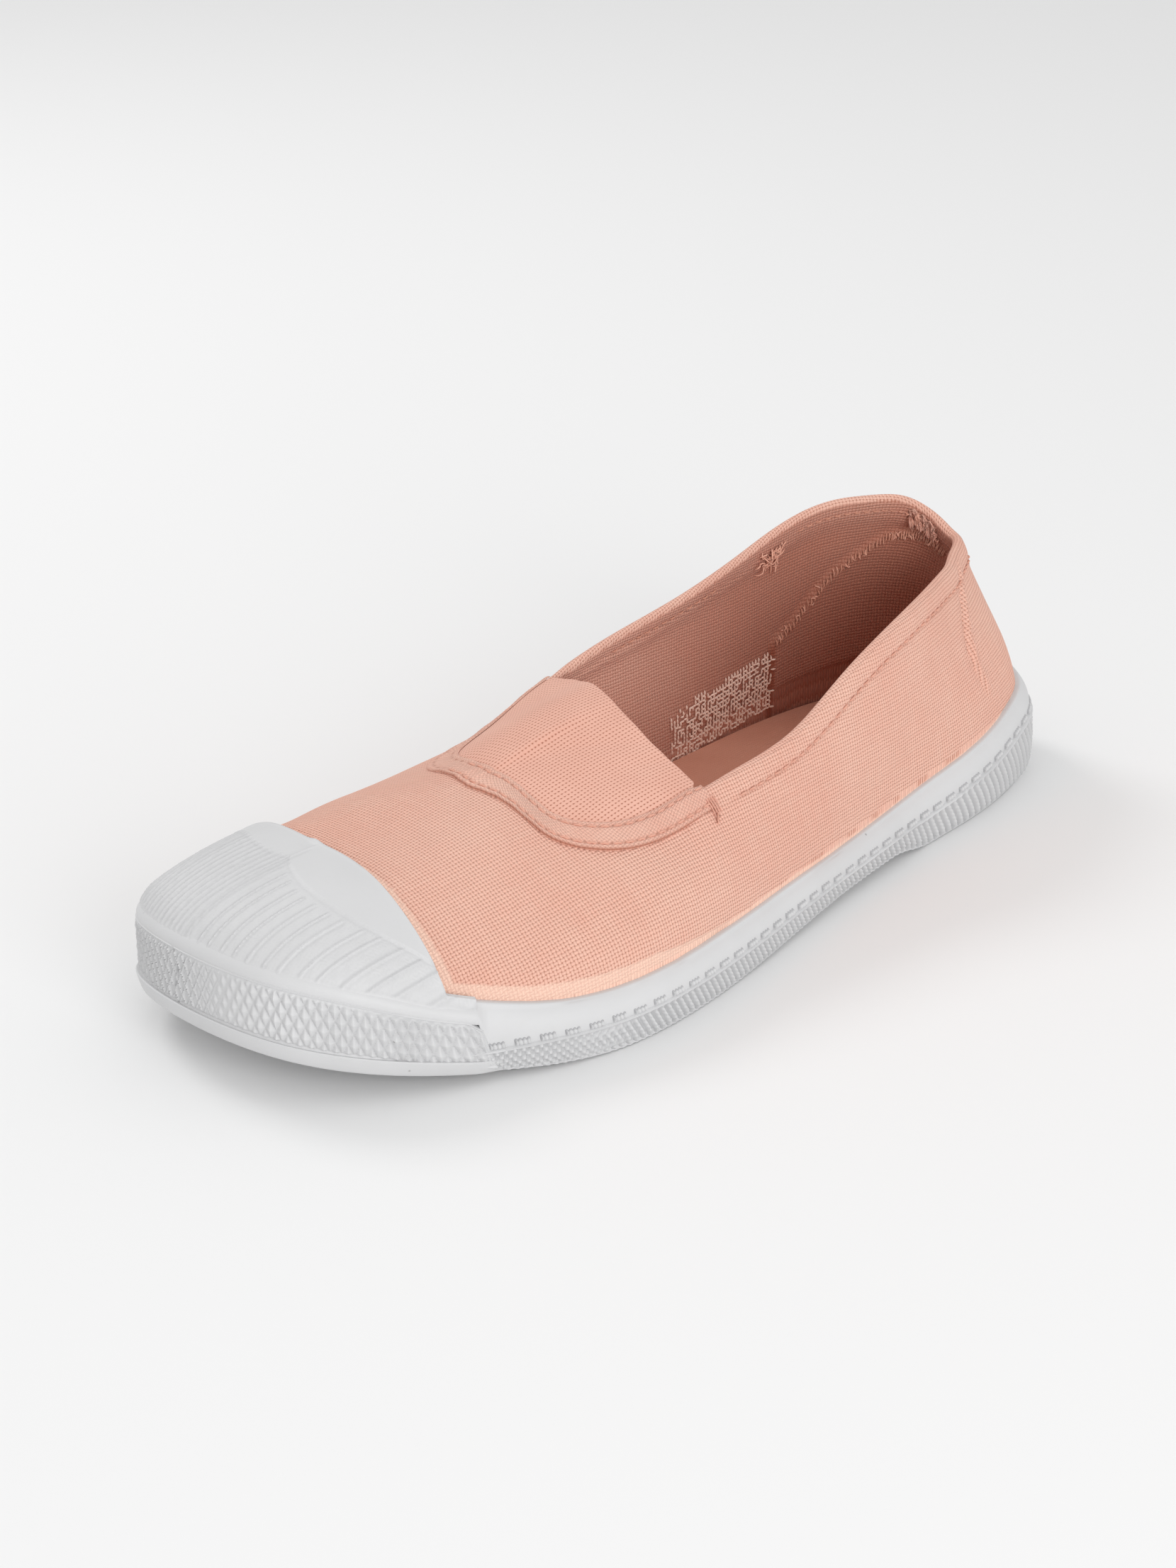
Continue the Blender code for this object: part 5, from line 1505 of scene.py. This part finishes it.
def build_outsole():
    place = np.linspace(0, RING_COUNT, 400, endpoint=False)
    # In the ribbed zone the lip stands back behind the rib band
    toe = ramp(BUMP_START - 0.9, BUMP_START + 0.3, place) * (1 - ramp(BUMP_END - 0.3, BUMP_END + 0.9, place))
    hidden = 1.6 * MM * (1 - toe)
    rows = [beside(place, EDGE_CHAMFER + 1.1 * MM + hidden, seen_ground)]
    for angle in np.radians((20, 45, 70)):
        inset = 0.9 * MM + EDGE_CHAMFER * (1 - math.sin(angle)) + hidden
        rise = EDGE_CHAMFER * (1 - math.cos(angle))
        rows.append(beside(place, inset, lambda run, up=rise: seen_ground(run) + up))
    rows.append(beside(place, 0.5 * MM + hidden, lambda run: 0.5 * seen_ground(run) + 0.5 * rim_top(run)))
    for inset, down in ((0.18, 0.7), (0.12, 0.35), (0.35, 0.08), (2.2, 0.0)):
        rows.append(beside(place, inset * MM + hidden, lambda run, gap=down: rim_top(run) - gap * MM))
    rows += [beside(place, FOOTBED_INSET, rim_top), beside(place, FOOTBED_INSET, footbed)]

    def tread(x, run, reach):
        inside = ramp(TREAD_BORDER - 1.6 * MM, TREAD_BORDER - 0.8 * MM, reach + EDGE_CHAMFER)
        inside = inside * ramp(TREAD_BORDER - 1 * MM, TREAD_BORDER + 1 * MM, np.minimum(run, LENGTH - run))
        zigzag = 3.0 * MM * np.abs(((x / TREAD_ZIGZAG) % 1.0) - 0.5) * 2
        wave = ((run + zigzag) / TREAD_PITCH) % 1.0
        groove = ramp(0.30, 0.38, wave) * (1 - ramp(0.72, 0.80, wave))
        return seen_ground(run) + inside * TREAD_DEPTH * groove

    plate("outsole_rubber", np.stack(rows, axis=1), 61, tread, lambda x, run, reach: footbed(run),
          rubber, "outsole")


def build_insole():
    place = np.linspace(0, RING_COUNT, 320, endpoint=False)

    def low(run):
        return footbed(run) + CLEARANCE

    def high(run):
        return low(run) + INSOLE_THICKNESS

    def dished(x, run, reach):
        dish = ramp(0, 16 * MM, reach)
        z = high(run) - 0.7 * MM * dish * (bell(run, 40 * MM, 34 * MM) + bell(run, 175 * MM, 45 * MM))
        return z + 0.10 * MM * np.sin(x * 160 + run * 90) * dish

    side = np.stack((beside(place, FOOTBED_INSET, low),
                     beside(place, FOOTBED_INSET, lambda run: high(run) - 0.5 * MM),
                     beside(place, FOOTBED_INSET + 0.4 * MM, high)), axis=1)
    plate("insole_cloth_top", side, 41, lambda x, run, reach: low(run), dished,
          insole_cloth, "insole", True)


# Stitches and the details on the inner side of the wall

def on_canvas(place, depth):
    """Points and normals of the canvas at ring places, at distances down from the rim."""
    controls = upper_controls(place)
    v = 1 - depth / line_lengths(controls)
    grid = curve_points(controls, v[:, None] + np.array((-0.01, 0.0, 0.01)))
    return grid[:, 1], normals(grid, False)[:, 1]


def stitch_paths(line, lift, pitch, gap, sink):
    """Short threads laid along a line of points, each sinking into the cloth at both ends."""
    reach = along(line)
    paths = []
    for k in range(int(reach[-1] / pitch)):
        steps = np.linspace((k + gap / 2) * pitch, (k + 1 - gap / 2) * pitch, 6)
        p, up = (np.stack([np.interp(steps, reach, part[:, c]) for c in range(3)], axis=-1)
                 for part in (line, lift))
        paths.append(p + up * (sink + 0.30 * MM * hump(6))[:, None])
    return paths


def build_stitches(binding_rows):
    """Stitches of the hem and of the binding."""
    place = np.concatenate((np.linspace(THROAT_END + 0.9 - RING_COUNT, 0, 500, endpoint=False),
                            np.linspace(0, THROAT_START - 0.9, 500)))
    line, lift = on_canvas(place, HEM_SEAM)
    paths = stitch_paths(line + lift * 0.42 * MM, lift, HEM_STITCH, 0.30, -0.12 * MM)
    for line, lift in binding_rows:
        paths += stitch_paths(line, lift, BINDING_STITCH, 0.28, -0.10 * MM)
    tubes("sewn_stitches", paths, STITCH_RADIUS, thread)


def build_bartack():
    """Four close stitches and some loose thread ends at the binding's outer corner."""
    source = np.random.default_rng(23)
    paths = []
    for k in range(4):
        place = THROAT_START - 0.02 + 0.10 * k + np.linspace(-0.05, 0.05, 8)
        line, lift = on_canvas(place, np.linspace(6.4, 2.2, 8) * MM)
        paths.append(line + lift * (0.34 * MM + 0.22 * MM * hump(8))[:, None])
    s = np.linspace(0, 1, 9)
    for _ in range(5):
        reach, turn = source.uniform(2.5, 5.5) * MM, source.uniform(-0.5, 0.5)
        place = THROAT_START + 0.05 + reach / STEP * s * np.cos(turn + 1.4 * s)
        line, lift = on_canvas(place, 6.0 * MM + reach * s * (0.35 + np.sin(turn + 1.4 * s) * 0.6))
        paths.append(line + lift * (0.25 * MM + 0.9 * MM * hump(9) * source.uniform(0.4, 1.0))[:, None])
    tubes("corner_bartack", paths, BARTACK_RADIUS, thread)


class Lining:
    """Inner face of the upper over a stretch of ring places, to lay tapes and threads on."""

    def __init__(self, start, end):
        self.place = np.linspace(start, end, LINING_SAMPLES)
        self.v = np.linspace(0, 0.985, LINING_SAMPLES)
        controls = upper_controls(self.place)
        self.length = line_lengths(controls)
        v = np.broadcast_to(self.v, (LINING_SAMPLES, LINING_SAMPLES))
        base = curve_points(controls, v)
        self.normal = -normals(base, False)
        self.grid = base + self.normal * lining_depth(self.place, v, self.length[:, None])[..., None]

    def at(self, place, v, lift):
        """Points at ring places and shares up the wall, lifted off the face."""
        end = LINING_SAMPLES - 1.001
        a = np.clip((place - self.place[0]) / (self.place[-1] - self.place[0]), 0, 1) * end
        b = np.clip(v / self.v[-1], 0, 1) * end
        a, b, lift = np.broadcast_arrays(a, b, lift)
        i, j = a.astype(int), b.astype(int)
        s, t = (a - i)[..., None], (b - j)[..., None]
        point, normal = (f[i, j] * (1 - s) * (1 - t) + f[i + 1, j] * s * (1 - t)
                         + f[i, j + 1] * (1 - s) * t + f[i + 1, j + 1] * s * t
                         for f in (self.grid, self.normal))
        found = point + normal * lift[..., None]
        found[..., 2] += np.minimum(v, 0) * self.length.mean()
        return found

    def share(self, place, t):
        """Share up the wall at a distance from the rim."""
        return 1 - t / np.interp(place, self.place, self.length)


def build_gauze(wall):
    """Open net of a pale tape along the foot of the inner wall, broken in places."""
    source = np.random.default_rng(12)
    start, end = 65.4, 70.62
    length = float(np.interp(68, wall.place, wall.length))
    across, up = GAUZE_PITCH / STEP, GAUZE_PITCH / length
    paths = []
    for k in range(int((end - start) * STEP / GAUZE_PITCH)):
        p0 = start + (k + 0.5) * across
        top = (9.0 * MM + 2.6 * MM * ramp(65.5, 69.0, p0) + 0.8 * MM * np.sin(p0 * 2.1)) / length
        keep = 0.80 if 66.2 < p0 < 70.4 else 0.5
        for r in range(int(15 * MM / GAUZE_PITCH)):
            v0 = -3.4 * MM / length + r * up
            if v0 > top:
                break
            jitter = source.uniform(-0.012, 0.012, 2)
            if source.random() < keep:
                v = np.linspace(v0, v0 + up * 1.05, 4)
                paths.append(wall.at(p0 + np.linspace(*jitter, 4), v, 0.30 * MM + 0.10 * MM * hump(4)))
            if source.random() < keep * 0.85:
                p = np.linspace(p0, p0 + across * 1.05, 4)
                v = np.full(4, v0 + jitter[0] * 0.3)
                paths.append(wall.at(p, v, 0.34 * MM + 0.10 * MM * hump(4)))
    tubes("gauze_tape_net", paths, GAUZE_RADIUS, gauze)


def build_inner_threads(wall, heel_wall):
    """Sewn edge of the counter, stitches of the inner hem, and frayed bunches."""
    source = np.random.default_rng(5)
    paths, curls = [], []
    side = np.linspace(0.6, 9.3, 62)
    edge = np.interp(side, COUNTER_PLACE, COUNTER_SHARE)
    for way in (-1, 1):
        for s, e in zip(side, edge):
            p = RING_COUNT + way * s + np.linspace(-0.05, 0.05, 4) + source.uniform(-0.02, 0.02)
            v = e + np.linspace(-0.022, 0.016, 4) + source.uniform(-0.008, 0.008)
            paths.append(heel_wall.at(p, v, 0.10 * MM + 0.45 * MM * hump(4)))
    for first, last, where in ((71.6, 78.6, heel_wall), (62.5, 67.5, wall)):
        for p in np.arange(first, last, 3.0 * MM / STEP):
            p = np.linspace(p, p + 2.1 * MM / STEP, 5)
            paths.append(where.at(p, where.share(p, 3.6 * MM), 0.05 * MM + 0.30 * MM * hump(5)))
    tubes("inner_stitches", paths, INNER_STITCH_RADIUS, dark_thread)

    def bunch(place, v, spread_p, spread_v, count, reach, height):
        """Curls of thread about a ring place and a share up the wall."""
        for _ in range(count):
            p = place + source.normal(0, 1) * spread_p
            w = v + source.normal(0, 1) * spread_v
            turn = source.uniform(0, 2 * np.pi)
            s = np.linspace(0, 1, 8)
            angle = (turn + source.uniform(-2.5, 2.5) * s)[:-1]
            dp, dv = (np.concatenate(([0], np.cumsum(part))) / 7 * reach * source.uniform(0.5, 1.1)
                      for part in (np.cos(angle), np.sin(angle)))
            high = height * source.uniform(0.3, 1.0)
            lift = 0.15 * MM + high * np.sin(np.pi * s * source.uniform(0.5, 1.0))
            curls.append(heel_wall.at(p + dp / STEP, w + dv / 0.045, lift))

    bunch(70.35, 0.856, 0.26, 0.030, 46, 4.5 * MM, 1.6 * MM)
    bunch(77.2, 0.90, 0.30, 0.025, 30, 3.6 * MM, 1.5 * MM)
    bunch(78.3, 0.86, 0.30, 0.025, 24, 3.2 * MM, 1.3 * MM)
    for s, e in zip(side[8:], edge[8:]):
        if source.random() < 0.5:
            bunch(RING_COUNT - s, e, 0.06, 0.006, 1, 1.6 * MM, 0.5 * MM)
    tubes("frayed_threads", curls, FRAY_RADIUS, fray)


def build_flap(wall):
    """Crumpled end of a tape inside the collar at the heel."""
    stations, rows = 40, 18
    p = np.linspace(76.6, 78.9, stations)[:, None]
    t = np.linspace(0, 1, rows)[None]
    v = wall.share(p, 1.4 * MM) - (6.0 * MM + 1.2 * MM * np.sin(p * 5)) / 0.058 * t
    v = v + 0.012 * np.sin(p * 9 + 4 * t)
    crumple = 0.55 * MM * np.sin(p * 11 + 3 * t) * np.sin(t * 7 + p * 3)
    crumple = crumple + 0.35 * MM * np.sin(p * 23 - 9 * t)
    lift = np.maximum(0.75 * MM + crumple * ramp(0, 0.3, t) + 0.9 * MM * t ** 2, 0.25 * MM)
    profile = np.concatenate((wall.at(p, v, lift), wall.at(p, v, lift - 0.45 * MM)[:, ::-1]), axis=1)
    around = np.concatenate((t, t[:, ::-1], t[:, :1]), axis=1) * 6 * MM
    uv = np.stack(np.broadcast_arrays(p * STEP, around), axis=-1)
    # Painted shade over the flap, deeper in the hollows of its crumples
    painted_shade = np.zeros(profile.shape[:2])
    painted_shade[:, :rows] = 0.15 + 0.5 * np.clip(-crumple / (0.6 * MM), 0, 1)
    build("heel_tape_flap", profile, False, canvas_tape, uv, {"painted_shade": painted_shade}, None, 70)


build_upper()
build_gore()
binding_lines = build_binding()
build_cap()
build_foxing()
build_ribs()
build_dashes()
build_bumper()
build_outsole()
build_insole()
build_stitches(binding_lines)
build_bartack()
inner_wall = Lining(61.5, 71.5)
heel_wall = Lining(69.0, 89.8)
build_gauze(inner_wall)
build_inner_threads(inner_wall, heel_wall)
build_flap(heel_wall)


# Floor, light and camera

def lamp(name, place, target, size, power):
    """Round area light, aimed at a point."""
    light = bpy.data.lights.new(name, "AREA")
    light.shape = "DISK"
    light.size = size
    light.energy = power
    holder = bpy.data.objects.new(name, light)
    bpy.context.collection.objects.link(holder)
    holder.location = Vector(place)
    holder.rotation_euler = (Vector(target) - Vector(place)).to_track_quat("-Z", "Y").to_euler()


def stage():
    """Paper floor, white surroundings and two lamps."""
    reach = 3.0
    corners = [(-reach, -reach, 0), (reach, -reach, 0), (reach, reach, 0), (-reach, reach, 0)]
    mesh = bpy.data.meshes.new("floor")
    mesh.from_pydata(corners, [], [(0, 1, 2, 3)])
    floor = bpy.data.objects.new("floor", mesh)
    bpy.context.collection.objects.link(floor)
    mesh.materials.append(Graph("floor_paper").done(PAPER, 0.9))
    world = bpy.data.worlds.new("studio")
    world.use_nodes = True
    background = world.node_tree.nodes["Background"]
    background.inputs["Color"].default_value = (*WHITE, 1.0)
    background.inputs["Strength"].default_value = 0.78
    bpy.context.scene.world = world
    lamp("key", (-0.95, -0.10, 0.95), (0, 0, 0.02), 0.5, 3.8)
    lamp("fill", (1.15, -0.45, 0.45), (0, 0, 0.03), 0.8, 6.6)
    bpy.context.scene.view_settings.view_transform = "Standard"


# Camera fitted to the photograph: directions in degrees, lens in pixels of its height, closer by the zoom
CAMERA_AZIMUTH, CAMERA_ELEVATION, CAMERA_ROLL = 43.044, 24.171, 0.298
CAMERA_DISTANCE = 0.670841
CAMERA_TARGET = (-CENTRE, 0.0, 25 * MM)
FOCAL_PIXELS = 3406.648
PHOTO_HEIGHT = 2212
SENSOR_WIDTH = 36.0
ZOOM = 1.22


def camera():
    azimuth, elevation, roll = map(math.radians, (CAMERA_AZIMUTH, CAMERA_ELEVATION, CAMERA_ROLL))
    back = Vector((math.sin(azimuth) * math.cos(elevation), -math.cos(azimuth) * math.cos(elevation),
                   math.sin(elevation)))
    level = Vector((math.cos(azimuth), math.sin(azimuth), 0.0))
    upright = back.cross(level)
    right = math.cos(roll) * level + math.sin(roll) * upright
    up = -math.sin(roll) * level + math.cos(roll) * upright
    place = Vector(CAMERA_TARGET) + back * CAMERA_DISTANCE
    data = bpy.data.cameras.new("camera")
    data.sensor_fit = "AUTO"
    data.sensor_width = SENSOR_WIDTH
    data.lens = FOCAL_PIXELS / PHOTO_HEIGHT * SENSOR_WIDTH * ZOOM
    data.shift_x = -0.037
    data.shift_y = 0.002
    data.clip_start = 0.01
    data.clip_end = 20
    holder = bpy.data.objects.new("camera", data)
    bpy.context.collection.objects.link(holder)
    holder.matrix_world = Matrix((*zip(right, up, back, place), (0, 0, 0, 1)))
    bpy.context.scene.camera = holder


stage()
camera()
